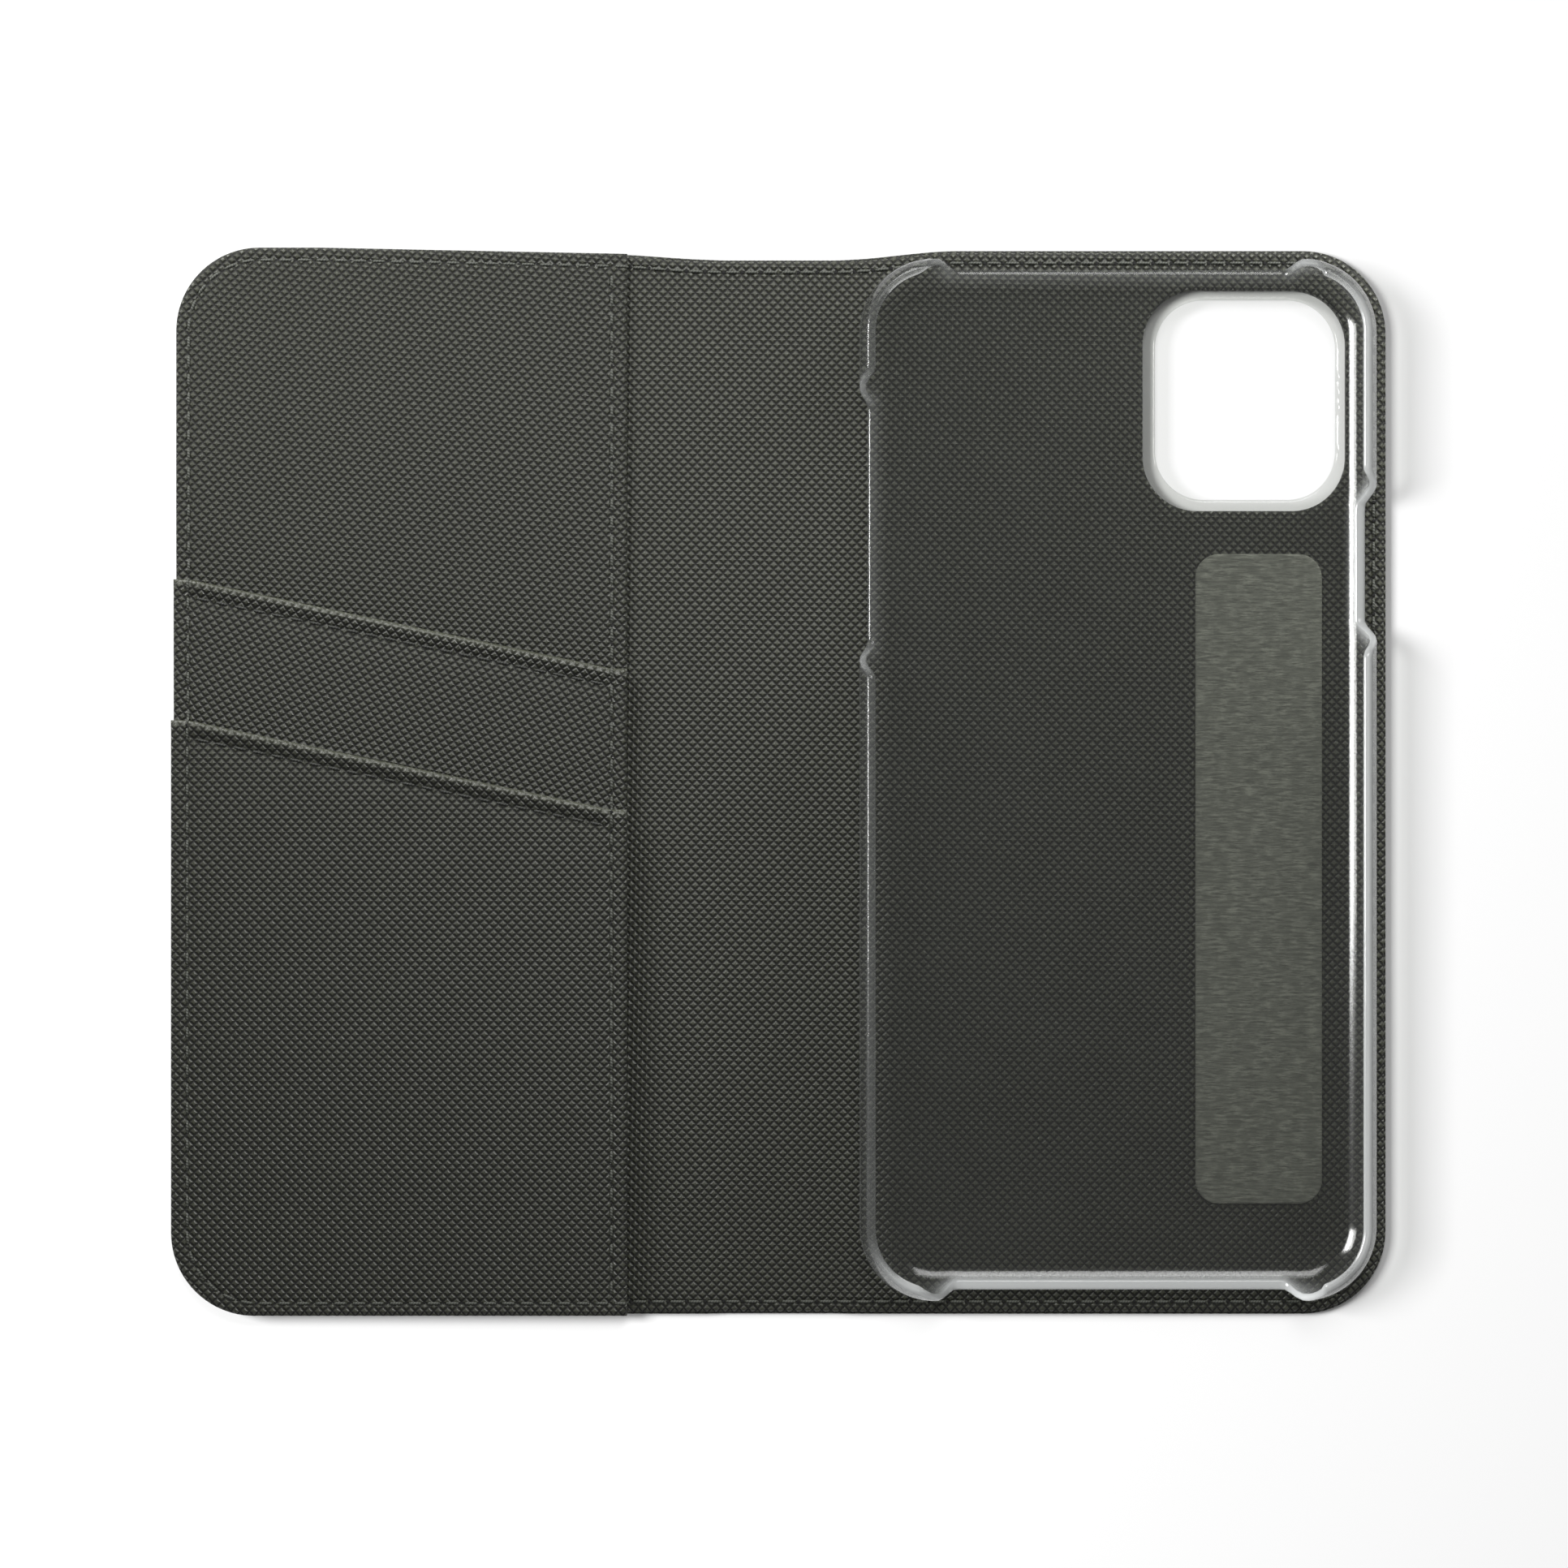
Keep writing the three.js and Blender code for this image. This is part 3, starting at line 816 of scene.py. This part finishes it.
def stitching_thread(name, tone):
    """Twisted thread: fine slanting strands along each stitch, each strand darker at its sides as painted
    shade, and the whole thread brightened by its tone, which on the edge rows is a painted highlight.
    """
    s = Shader(name)
    colour = slot_colour("thread")
    parts = s.node("ShaderNodeSeparateXYZ", {0: s.sheet()})
    strand = s.math("ADD", s.math("MULTIPLY", parts.outputs[0], 2.2), parts.outputs[1])
    twist = s.math("MULTIPLY", s.math("PINGPONG", strand, 0.5), 2.0)
    fuzz = s.noise(s.sheet(), 4.0)
    # Painted shade: each strand is darker towards its sides, where the twist sinks.
    tones = s.mix(twist, shade(colour, 0.4 * tone), shade(colour, tone))
    s.look(tones, s.ramp(fuzz, 0.2, 0.8, 0.5, 0.7), twist, 0.06)
    return s.material


# Painted shade in the needle holes, a little uneven.
HOLE_SHADE_DARK = (0.003, 0.003, 0.003, 1.0)
HOLE_SHADE_PALE = (0.01, 0.01, 0.009, 1.0)


def needle_hole_shade():
    """Painted shade: dark plugs standing for the shade in the needle holes between the stitches."""
    s = Shader("needle_hole_shade")
    s.look(s.mix(s.noise(s.sheet(), 3.0), HOLE_SHADE_DARK, HOLE_SHADE_PALE), 0.95)
    return s.material


# The clear plastic: what it lets through, the colour of its painted highlights and how they grow at a slant,
# and its mirror's share face on and at a slant.
CLEAR_COLOUR = (0.89, 0.895, 0.885, 1.0)
PAINTED_LIGHT_COLOUR = (0.82, 0.84, 0.84, 1.0)
PAINTED_LIGHT_ROUGHNESS = 0.1
PALE_FROM = 0.72
PALE_FACE_ON = 0.003
PALE_AT_SLANT = 0.3
MIRROR_ROUGHNESS = 0.12
MIRROR_FACE_ON = 0.04
MIRROR_AT_SLANT = 0.9
MIRROR_POWER = 5.0


def clear_plastic():
    """Clear hard plastic: looked straight through face on, paler at a slant as a painted highlight along its
    silhouettes, and with painted highlights where its rims gather light."""
    s = Shader("clear_plastic")
    slant = s.node("ShaderNodeLayerWeight", {"Blend": 0.5}).outputs["Facing"]
    haze = s.noise(s.node("ShaderNodeTexCoord").outputs["Object"], 90.0)
    pale = s.ramp(slant, PALE_FROM, 1.0, PALE_FACE_ON, PALE_AT_SLANT)
    pale = s.math("MULTIPLY", pale, s.ramp(haze, 0.2, 0.8, 0.7, 1.3))
    # Painted highlights and painted reflection, read from the shell's points.
    painted_light = s.node("ShaderNodeAttribute", attribute_name=PAINTED_LIGHT).outputs["Fac"]
    clear = s.node("ShaderNodeBsdfTransparent", {"Color": CLEAR_COLOUR}).outputs[0]
    s.look(PAINTED_LIGHT_COLOUR, PAINTED_LIGHT_ROUGHNESS)
    body = s.math("ADD", pale, painted_light, clamp=True)
    body = s.node("ShaderNodeMixShader", {0: body, 1: clear, 2: s.surface.outputs[0]}).outputs[0]
    mirror = s.node("ShaderNodeBsdfAnisotropic", {"Roughness": MIRROR_ROUGHNESS}).outputs[0]
    # Taken from the slant alone, so a plate's under side, met from within, isn't a full mirror.
    edge = s.math("MULTIPLY", s.math("POWER", slant, MIRROR_POWER), MIRROR_AT_SLANT)
    edge = s.math("ADD", edge, MIRROR_FACE_ON)
    skin = s.node("ShaderNodeMixShader", {0: edge, 1: body, 2: mirror}).outputs[0]
    s.put(s.output.inputs["Surface"], skin)
    return s.material


FIBRE_STRETCH = (0.25, 1.6, 1.0)


def felt_strip():
    """The bonding strip: matted grey fibres that lie mostly across it."""
    s = Shader("felt_strip")
    colour = slot_colour("bond_strip")
    fibre = s.noise(s.vector("MULTIPLY", s.sheet(), FIBRE_STRETCH), 1.6, 4.0, 0.7)
    mottle = s.noise(s.sheet(), 0.5, 3.0)
    tone = s.mix(s.ramp(fibre, 0.35, 0.65), shade(colour, 0.8), shade(colour, 2.1))
    tone = s.mix(s.ramp(mottle, 0.4, 0.6, 0.0, 0.6), tone, shade(colour, 1.05))
    s.look(tone, 0.95, fibre, 0.1)
    return s.material


def grey_board():
    """Pressed grey cardboard, flecked with darker and lighter fibres."""
    s = Shader("grey_board")
    colour = slot_colour("board")
    place = s.node("ShaderNodeTexCoord").outputs["Object"]
    pulp = s.noise(place, 900.0, 4.0, 0.65)
    fleck = s.ramp(s.noise(place, 2600.0, 1.0), 0.62, 0.72)
    tone = s.mix(pulp, shade(colour, 0.8), shade(colour, 1.2))
    tone = s.mix(s.math("MULTIPLY", fleck, 0.4), tone, shade(colour, 0.4))
    s.look(tone, 0.92, pulp, 0.05)
    return s.material


def floor_material():
    s = Shader("pale_floor")
    s.look((0.9, 0.9, 0.9, 1.0), 0.9)
    s.put(s.surface.inputs["Specular IOR Level"], 0.1)
    return s.material


# ---------------------------------------------------------------- leather pieces


def half_sheet(line, holes=()):
    """Half of a sheet, cut along the middle line of the spine."""
    return Flat(spaced(line), cut_x=0.0, holes=holes)


def window_loop(size, grow=0.0):
    return spaced(rounded_rectangle(WINDOW_CENTRE, size, grow), closed=True)


def skin_heights(flat):
    """The outer skin: a thin sheet whose edges are turned up round the board."""
    near = np.minimum(flat.edge, flat.hole)
    bottom = round_off(near, *SKIN_UNDER)
    inner = SPINE_HIGH.z - LAYER_GAP
    height = RIM_HEIGHT * smooth((np.abs(flat.points[:, 0]) - RIM_START_X) / RIM_RUN_X)
    panel_rim = height * (1 - smooth((near - RIM_WIDTH) / RIM_FALL))
    spine_rim = SPINE_RIM_HEIGHT * (1 - smooth((near - SPINE_RIM_WIDTH) / RIM_FALL)) * (1 - height)
    top = inner + (panel_rim + spine_rim) - round_off(near, *SKIN_EDGE)
    return top, bottom


def outer_skin(name, flat, material):
    top, bottom = skin_heights(flat)
    return sheet_object(name, flat, top, bottom, material)


def lining(name, flat, material, turn):
    top = lining_top(flat.points, flat.edge, flat.hole)
    thick = LINING_HIGH.z - BOARD_HIGH.z - LAYER_GAP
    bottom = lining_rise(flat.points[:, 0]) - thick
    near = np.minimum(flat.edge, flat.hole)
    rise = round_off(near, *LINING_UNDER)
    bottom = np.minimum(bottom + rise, top - LEAST_THICK)
    return sheet_object(name, flat, top, bottom, material, turn)


def pocket_backing(material):
    flat = Flat(spaced(backing_outline(), closed=True))
    top = backing_top(flat.points, flat.edge)
    bottom = pocket_bottom(flat.points, flat.edge, BACKING_HIGH.z)
    return sheet_object("pocket_backing_panel", flat, top, bottom, material, BACKING_TURN)


def card_pocket(name, low, high, top_of, material, turn):
    """A card pocket, whose hem crest its material can read, to flatten the grain there and paint a highlight
    on it.
    """
    wrap = FRONT_LOW.x - low.x
    flat = Flat(spaced(pocket_outline(high.y, wrap), closed=True))
    top = top_of(flat.points, flat.edge)
    bottom = pocket_bottom(flat.points, flat.edge, bare_level(high))
    made = sheet_object(name, flat, top, bottom, material, turn)
    roll = 1 - smooth((below_hem(flat.points, high.y) - ROLL_WIDTH) / ROLL_FADE)
    set_attribute(made, ROLL, np.tile(roll, 2))
    return made


# ---------------------------------------------------------------- stitches

STITCH_SIDES = 8
STITCH_RINGS = 7
STITCH_ANGLES = [2 * math.pi * i / STITCH_SIDES for i in range(STITCH_SIDES)]
STITCH_FLATNESS = 1.15
STITCH_SINK = 0.34
STITCH_DENT_SHARE = 0.75
STITCH_TIP = 0.08
HOLE_RADIUS = 0.26
HOLE_FLATNESS = 1.2
# The rings of a needle hole: each one's height, and its share of the radius.
HOLE_LEVELS = ((-0.12, 1.0), (0.0, 1.0), (0.03, 0.75))
# On the hems the dark plugs are drawn out into dashes of painted shadow under the stitches.
HEM_HOLE_STRETCH = 2.6
HEM_SEAM_INSET = 0.9
SIDE_SEAM_GAP = 1.0


def stitch_points(middle_line, side, surface):
    """One stitch: rings of points round a thread whose ends sink into the sheet."""
    along = np.linspace(-1, 1, STITCH_RINGS)
    sink = STITCH_SINK * np.abs(along) ** 3 + SEAM_DENT * STITCH_DENT_SHARE
    heights = surface(middle_line) - sink
    made = []
    for place, height, t in zip(middle_line, heights, along):
        radius = THREAD_RADIUS * math.sqrt(max(STITCH_TIP, 1 - abs(t) ** 4))
        for angle in STITCH_ANGLES:
            spot = place + side * radius * STITCH_FLATNESS * math.cos(angle)
            made.append((spot[0], spot[1], height + radius + radius * math.sin(angle)))
    return made


def hole_points(place, level, ahead, side, stretch):
    """One needle hole: rings of points round a dark plug of painted shade, which can be drawn out along the
    seam into a dash of painted shadow.
    """
    made = []
    for height, share in HOLE_LEVELS:
        radius = HOLE_RADIUS * share
        for angle in STITCH_ANGLES:
            along = ahead * radius * stretch * math.cos(angle)
            across = side * radius * HOLE_FLATNESS * math.sin(angle)
            made.append((*(place + (along + across)), level + height))
    return made


def tube_faces(first, rings):
    """The faces of a closed tube of rings, counted from its first point."""
    made = []
    for j in range(rings - 1):
        for i in range(STITCH_SIDES):
            a = first + j * STITCH_SIDES + i
            b = first + j * STITCH_SIDES + (i + 1) % STITCH_SIDES
            made.append((a, b, b + STITCH_SIDES, a + STITCH_SIDES))
    made.append([first + i for i in reversed(range(STITCH_SIDES))])
    made.append([first + (rings - 1) * STITCH_SIDES + i for i in range(STITCH_SIDES)])
    return made


def stitch_row(name, line, surface, thread, hole, stretch=1.0):
    """A row of separate stitches along a line of points, lying on a surface, with a dark plug of painted
    shade between each two, where the needle hole is."""
    line = np.array(line, float)
    lengths = np.concatenate([[0], np.cumsum(np.linalg.norm(np.diff(line, axis=0), axis=1))])
    count = int(lengths[-1] / STITCH_PITCH)
    pitch = lengths[-1] / count

    def place_at(run):
        return np.stack([np.interp(run, lengths, line[:, i]) for i in (0, 1)], -1)

    points, faces, uvs, hole_faces = [], [], [], []
    for k in range(count):
        ends = (k + 0.5) * pitch + np.array([-0.5, 0.5]) * STITCH_LENGTH
        run = np.linspace(ends[0], ends[1], STITCH_RINGS)
        middle_line = place_at(run)
        ahead = middle_line[-1] - middle_line[0]
        ahead /= np.linalg.norm(ahead)
        side = np.array([-ahead[1], ahead[0]])
        faces += tube_faces(len(points), STITCH_RINGS)
        points += stitch_points(middle_line, side, surface)
        uvs += [(r, i / STITCH_SIDES) for r in run for i in range(STITCH_SIDES)]
        hole_faces += [0] * (len(faces) - len(hole_faces))
        if k == 0:
            continue
        place = place_at(k * pitch)
        level = float(surface(place[None])[0])
        faces += tube_faces(len(points), len(HOLE_LEVELS))
        points += hole_points(place, level, ahead, side, stretch)
        uvs += [tuple(place)] * (len(HOLE_LEVELS) * STITCH_SIDES)
        hole_faces += [1] * (len(faces) - len(hole_faces))
    made = made_object(name, points, faces, uvs, [thread, hole])
    made.data.polygons.foreach_set("material_index", hole_faces)
    face_outwards(made)
    return made


def face_outwards(made, weld=0.0):
    """Turn a piece's faces outwards, with points that lie within the weld distance made one."""
    mesh = bmesh.new()
    mesh.from_mesh(made.data)
    if weld:
        bmesh.ops.remove_doubles(mesh, verts=mesh.verts, dist=weld * MM)
    bmesh.ops.recalc_face_normals(mesh, faces=mesh.faces)
    mesh.to_mesh(made.data)
    mesh.free()


def hem_seam_line(hem_left_y):
    x0 = FRONT_LOW.x + LEFT_SEAM_INSET + HEM_SEAM_INSET
    x1 = BACKING_HIGH.x - SIDE_SEAM_INSET - HEM_SEAM_INSET
    below = (HEM_WIDTH + HEM_SEAM_GAP) / math.cos(math.atan(HEM_SLOPE))
    return [(x, float(hem_line_y(hem_left_y, x)) - below) for x in (x0, x1)]


def side_seam_line():
    x = BACKING_HIGH.x - SIDE_SEAM_INSET
    slope = STACK_TOP_DROP / (TOP_SLOPE_START_X + SPINE_CUT_END_X)
    top = FRONT_HIGH.y + (x - TOP_SLOPE_START_X) * slope
    return [(x, FRONT_LOW.y + SEAM_INSET + SIDE_SEAM_GAP), (x, top - SEAM_INSET - SIDE_SEAM_GAP)]


# ---------------------------------------------------------------- the shell

ARC_STEPS = 9
LIP_STEPS = 5
LIP_ROUND = 0.3
# Painted highlight on the shell's lip and its slanting notch ends, and painted reflection of the pale table
# on two sides.
LIP_PAINTED_HIGHLIGHT = 0.04
SLANT_PAINTED_HIGHLIGHT = 0.3
TABLE_SIDE_PAINTED_REFLECTION = 0.4
PAINTED_LIGHT = "painted_light"
SHELL_STEP = 0.8
WALL_SHIFT = 0.05
SQUARE_ON = 0.95
WINDOW_ROUND = 0.35
WINDOW_UNDER = 0.6
WELD_REACH = 0.005


def shell_core():
    """The line that the shell's wall curves up round."""
    centre = ((SHELL_LOW.x + SHELL_HIGH.x) / 2, (SHELL_LOW.y + SHELL_HIGH.y) / 2)
    width = SHELL_HIGH.x - SHELL_LOW.x - 2 * WALL_RADIUS
    height = SHELL_HIGH.y - SHELL_LOW.y - 2 * WALL_RADIUS
    loop = rounded_rectangle(centre, (width, height, SHELL_CORNER_RADIUS - WALL_RADIUS))
    points = [np.array(p) for p in loop]
    made = []
    for a, b in zip(points, points[1:] + points[:1]):
        count = max(1, math.ceil(np.linalg.norm(b - a) / SHELL_STEP))
        made += [a + (b - a) * k / count for k in range(count)]
    return np.array(made)


def lip_height(point, normal):
    """The height of the wall's lip, which dips at the button notches and along both ends."""
    low = SHELL_LOW.z + LOW_LIP_RISE
    high = SHELL_HIGH.z
    if abs(normal[0]) > SQUARE_ON:
        start, end = LEFT_NOTCH if normal[0] < 0 else RIGHT_NOTCH
        place = point[1]
    elif abs(normal[1]) > SQUARE_ON:
        start, end = END_NOTCH
        place = point[0]
    else:
        return high
    beyond = max(start - place, place - end)
    return low + (high - low) * float(smooth(beyond / NOTCH_SLOPE))


def wall_section(point, normal):
    """The wall's section at a point of the core: up the outside, over the lip and down the inside."""
    middle = (SHELL_LOW.z + WALL_RADIUS) + WALL_SHIFT
    lip = lip_height(point, normal) - LIP_ROUND - middle
    inner_radius = WALL_RADIUS - WALL_THICK
    outer_end = math.asin(lip / (WALL_RADIUS + WALL_SHIFT))
    inner_end = math.asin(max(-1.0, min(1.0, lip / (inner_radius + WALL_SHIFT))))

    def on_arc(radius, angle):
        return np.array([radius * math.cos(angle), middle + (radius + WALL_SHIFT) * math.sin(angle)])

    outside = [on_arc(WALL_RADIUS, a) for a in np.linspace(-math.pi / 2, outer_end, ARC_STEPS)]
    inside = [on_arc(inner_radius, a) for a in np.linspace(inner_end, -math.pi / 2, ARC_STEPS)]
    centre = (outside[-1] + inside[0]) / 2
    half = outside[-1] - centre
    up = np.array([-half[1], half[0]]) / np.linalg.norm(half) * LIP_ROUND
    angles = np.linspace(0, math.pi, LIP_STEPS + 2)[1:-1]
    lip_points = [centre + half * math.cos(a) + up * math.sin(a) for a in angles]
    section = outside + lip_points + inside
    return [(point[0] + normal[0] * r, point[1] + normal[1] * r, z) for r, z in section]


def wall_painted_light(point, normal, count):
    """How much painted light each point of the wall's section gets: a painted highlight on the lip most,
    more where the lip slants, and a painted reflection of the pale table on the two sides that stand next to
    it."""
    low = SHELL_LOW.z + LOW_LIP_RISE
    share = (lip_height(point, normal) - low) / (SHELL_HIGH.z - low)
    slanting = 4 * share * (1 - share)
    by_table = max(normal[0], -normal[1], 0.0) ** 2
    lip = LIP_PAINTED_HIGHLIGHT + SLANT_PAINTED_HIGHLIGHT * slanting + TABLE_SIDE_PAINTED_REFLECTION * by_table
    return [lip * math.sin(math.pi * j / (count - 1)) ** 4 for j in range(count)]


def clear_shell(material):
    core = shell_core()
    ahead = np.roll(core, -1, 0) - np.roll(core, 1, 0)
    ahead /= np.linalg.norm(ahead, axis=1)[:, None]
    normals = np.stack([ahead[:, 1], -ahead[:, 0]], 1)
    sections = [wall_section(p, n) for p, n in zip(core, normals)]
    per = len(sections[0])
    count = len(core)
    points = [p for section in sections for p in section]
    faces = []
    for i in range(count):
        ahead_i = (i + 1) % count
        for j in range(per - 1):
            faces.append((i * per + j, ahead_i * per + j, ahead_i * per + j + 1, i * per + j + 1))
    # Painted light for each point of the wall: highlights on the lip, reflection of the table on two sides.
    painted_light = [m for p, n in zip(core, normals) for m in wall_painted_light(p, n, per)]
    flat = Flat(core, holes=[window_loop(SHELL_WINDOW)], rings=())
    rounding = round_off(flat.hole, WINDOW_ROUND, WINDOW_ROUND)
    first = len(points)
    floor_count = len(flat.points)
    points += [(x, y, SHELL_LOW.z + FLOOR_THICK - r) for (x, y), r in zip(flat.points, rounding)]
    points += [(x, y, SHELL_LOW.z + r * WINDOW_UNDER) for (x, y), r in zip(flat.points, rounding)]
    faces += (flat.triangles + first).tolist()
    faces += (flat.triangles[:, ::-1] + first + floor_count).tolist()
    for a, b in flat.border():
        if flat.hole[a] < ON_EDGE and flat.hole[b] < ON_EDGE:
            faces.append((a + first + floor_count, b + first + floor_count, b + first, a + first))
    uvs = [(p[0], p[1]) for p in points]
    made = made_object("clear_phone_shell", points, faces, uvs, [material])
    set_attribute(made, PAINTED_LIGHT, painted_light + [0.0] * (len(points) - len(painted_light)))
    face_outwards(made, WELD_REACH)
    return made


STRIP_CORNER_RADIUS = 3.7
STRIP_EDGE = (0.4, 0.15)
STRIP_SUNK = 0.1


def bonding_strip(material):
    centre = ((STRIP_LOW.x + STRIP_HIGH.x) / 2, (STRIP_LOW.y + STRIP_HIGH.y) / 2)
    size = (STRIP_HIGH.x - STRIP_LOW.x, STRIP_HIGH.y - STRIP_LOW.y, STRIP_CORNER_RADIUS)
    flat = Flat(spaced(rounded_rectangle(centre, size), closed=True), rings=HOLE_RINGS)
    top = STRIP_HIGH.z - LAYER_GAP - round_off(flat.edge, *STRIP_EDGE)
    bottom = np.full(len(flat.points), STRIP_LOW.z - STRIP_SUNK)
    return sheet_object("bonding_strip", flat, top, bottom, material)


# ---------------------------------------------------------------- assembly


def fold(piece):
    """Bakes the place of a piece that spans a panel and the spine into its points; nothing here bends it."""
    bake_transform(piece)


def build_skins():
    outer = leather("outer_leather")
    skin_front = outer_skin("outer_skin_front", half_sheet(front_outline()), outer)
    fold(skin_front)
    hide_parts("front_skin", "spine_skin")

    skin_flat = half_sheet(back_outline(), [window_loop(LEATHER_WINDOW)])
    skin_back = outer_skin("outer_skin_back", skin_flat, outer)
    fold(skin_back)
    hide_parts("back_skin", "spine_skin")


def build_linings():
    inner = leather("lining_leather")
    lining_front = lining("lining_front", half_sheet(front_outline(LINING_INSET)), inner, LINING_TURN)
    fold(lining_front)
    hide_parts("front_lining", "spine_lining")

    back_flat = half_sheet(back_outline(LINING_INSET), [window_loop(LEATHER_WINDOW)])
    lining_back = lining("lining_back", back_flat, inner, LINING_TURN)
    fold(lining_back)
    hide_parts("back_lining", "spine_lining")


def build_pockets():
    pocket = leather("pocket_leather")
    backing = pocket_backing(pocket)
    upper = card_pocket("upper_card_pocket_panel", UPPER_LOW, UPPER_HIGH, upper_top, pocket, UPPER_TURN)
    lower = card_pocket("lower_card_pocket_panel", LOWER_LOW, LOWER_HIGH, lower_top, pocket, LOWER_TURN)
    layers = (
        (backing, "pocket_backing"),
        (upper, "upper_card_pocket"),
        (lower, "lower_card_pocket"),
    )
    for piece, node in layers:
        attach(piece, "front_cover")
        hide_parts(node)


def build_seams():
    thread = stitching_thread("edge_thread_painted_highlight", EDGE_THREAD_PAINTED_HIGHLIGHT)
    hem_thread = stitching_thread("hem_thread", HEM_THREAD_TONE)
    hole = needle_hole_shade()
    front_thread = stitch_row("edge_stitches_front", front_outline(SEAM_INSET), front_surface, thread, hole)
    fold(front_thread)
    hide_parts("front_edge_stitching", "spine_top_stitching", "spine_bottom_stitching")
    back_thread = stitch_row("edge_stitches_back", back_outline(SEAM_INSET), back_surface, thread, hole)
    fold(back_thread)
    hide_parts("back_edge_stitching")
    side_thread = stitch_row("pocket_side_stitches", side_seam_line(), front_surface, thread, hole)
    hem = (front_surface, hem_thread, hole, HEM_HOLE_STRETCH)
    upper_thread = stitch_row("upper_hem_stitches", hem_seam_line(UPPER_HIGH.y), *hem)
    lower_thread = stitch_row("lower_hem_stitches", hem_seam_line(LOWER_HIGH.y), *hem)
    rows = (
        (side_thread, "pocket_side_stitching"),
        (upper_thread, "upper_hem_stitching"),
        (lower_thread, "lower_hem_stitching"),
    )
    for piece, node in rows:
        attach(piece, "front_cover")
        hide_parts(node)


def build_shell():
    shell = clear_shell(clear_plastic())
    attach(shell, "back_panel")
    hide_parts("phone_shell")
    strip = bonding_strip(felt_strip())
    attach(strip, "back_panel")
    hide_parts("shell_bond_strip")


def dress_boards():
    board = grey_board()
    for node in ("front_board", "back_board", "spine_stiffener"):
        frame["nodes"][node].data.materials.clear()
        frame["nodes"][node].data.materials.append(board)


# ---------------------------------------------------------------- the studio

FLOOR_HALF = 3.0
FLOOR_DROP = 0.0001
FLOOR_CORNERS = ((-1, -1), (1, -1), (1, 1), (-1, 1))
OVERHEAD_PLACE = (0.1, 0.6, 1.05)
OVERHEAD_SIZE = 0.5
KEY_PLACE = (-0.72, 0.12, 0.86)
KEY_SIZE = 0.4
RAKE_PLACE = (0.16, 0.18, 0.09)
RAKE_WIDTH = 0.2
RAKE_DEPTH = 0.06
RAKE_POWER = 0.5
WORLD_STRENGTH = 0.2
CAMERA_PLACE = (0.0007, -0.00045, 0.652)
CAMERA_LENS = 95.4
SENSOR_WIDTH = 36.0


def make_camera():
    data = bpy.data.cameras.new("camera")
    data.lens = CAMERA_LENS
    data.sensor_width = SENSOR_WIDTH
    camera = bpy.data.objects.new("camera", data)
    camera.location = CAMERA_PLACE
    bpy.context.scene.collection.objects.link(camera)
    bpy.context.scene.camera = camera


def area_light(name, place, width, depth, power, lit):
    """A soft light that faces the case and lights only what is in one collection."""
    data = bpy.data.lights.new(name, "AREA")
    data.shape = "RECTANGLE"
    data.energy = power
    data.size = width
    data.size_y = depth
    light = bpy.data.objects.new(name, data)
    light.location = place
    light.rotation_mode = "QUATERNION"
    light.rotation_quaternion = (-Vector(place)).to_track_quat("-Z", "Y")
    light.visible_camera = False
    light.light_linking.receiver_collection = lit
    bpy.context.scene.collection.objects.link(light)


def make_studio():
    mesh = bpy.data.meshes.new("floor")
    corners = [(x * FLOOR_HALF, y * FLOOR_HALF, -FLOOR_DROP) for x, y in FLOOR_CORNERS]
    mesh.from_pydata(corners, [], [(0, 1, 2, 3)])
    mesh.materials.append(floor_material())
    floor = bpy.data.objects.new("floor", mesh)
    bpy.context.scene.collection.objects.link(floor)
    floor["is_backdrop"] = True

    room = bpy.data.collections.new("room")
    room.objects.link(floor)
    case = bpy.data.collections.new("case")
    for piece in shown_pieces():
        home = room if piece.name.startswith("clear") else case
        home.objects.link(piece)
    area_light("room_key", KEY_PLACE, KEY_SIZE, KEY_SIZE, 14.0, room)
    area_light("room_overhead", OVERHEAD_PLACE, OVERHEAD_SIZE, OVERHEAD_SIZE, 4.0, room)
    area_light("case_overhead", OVERHEAD_PLACE, OVERHEAD_SIZE, OVERHEAD_SIZE, 8.0, case)
    for name, side in (("rake_left", -1), ("rake_right", 1)):
        place = (side * RAKE_PLACE[0], RAKE_PLACE[1], RAKE_PLACE[2])
        area_light(name, place, RAKE_WIDTH, RAKE_DEPTH, RAKE_POWER, case)
    world = bpy.data.worlds.new("world")
    world.use_nodes = True
    world.node_tree.nodes["Background"].inputs["Color"].default_value = (1, 1, 1, 1)
    world.node_tree.nodes["Background"].inputs["Strength"].default_value = WORLD_STRENGTH
    bpy.context.scene.world = world
    bpy.context.scene.view_settings.view_transform = "Standard"


make_camera()
build_skins()
build_linings()
build_pockets()
build_seams()
build_shell()
dress_boards()
make_studio()
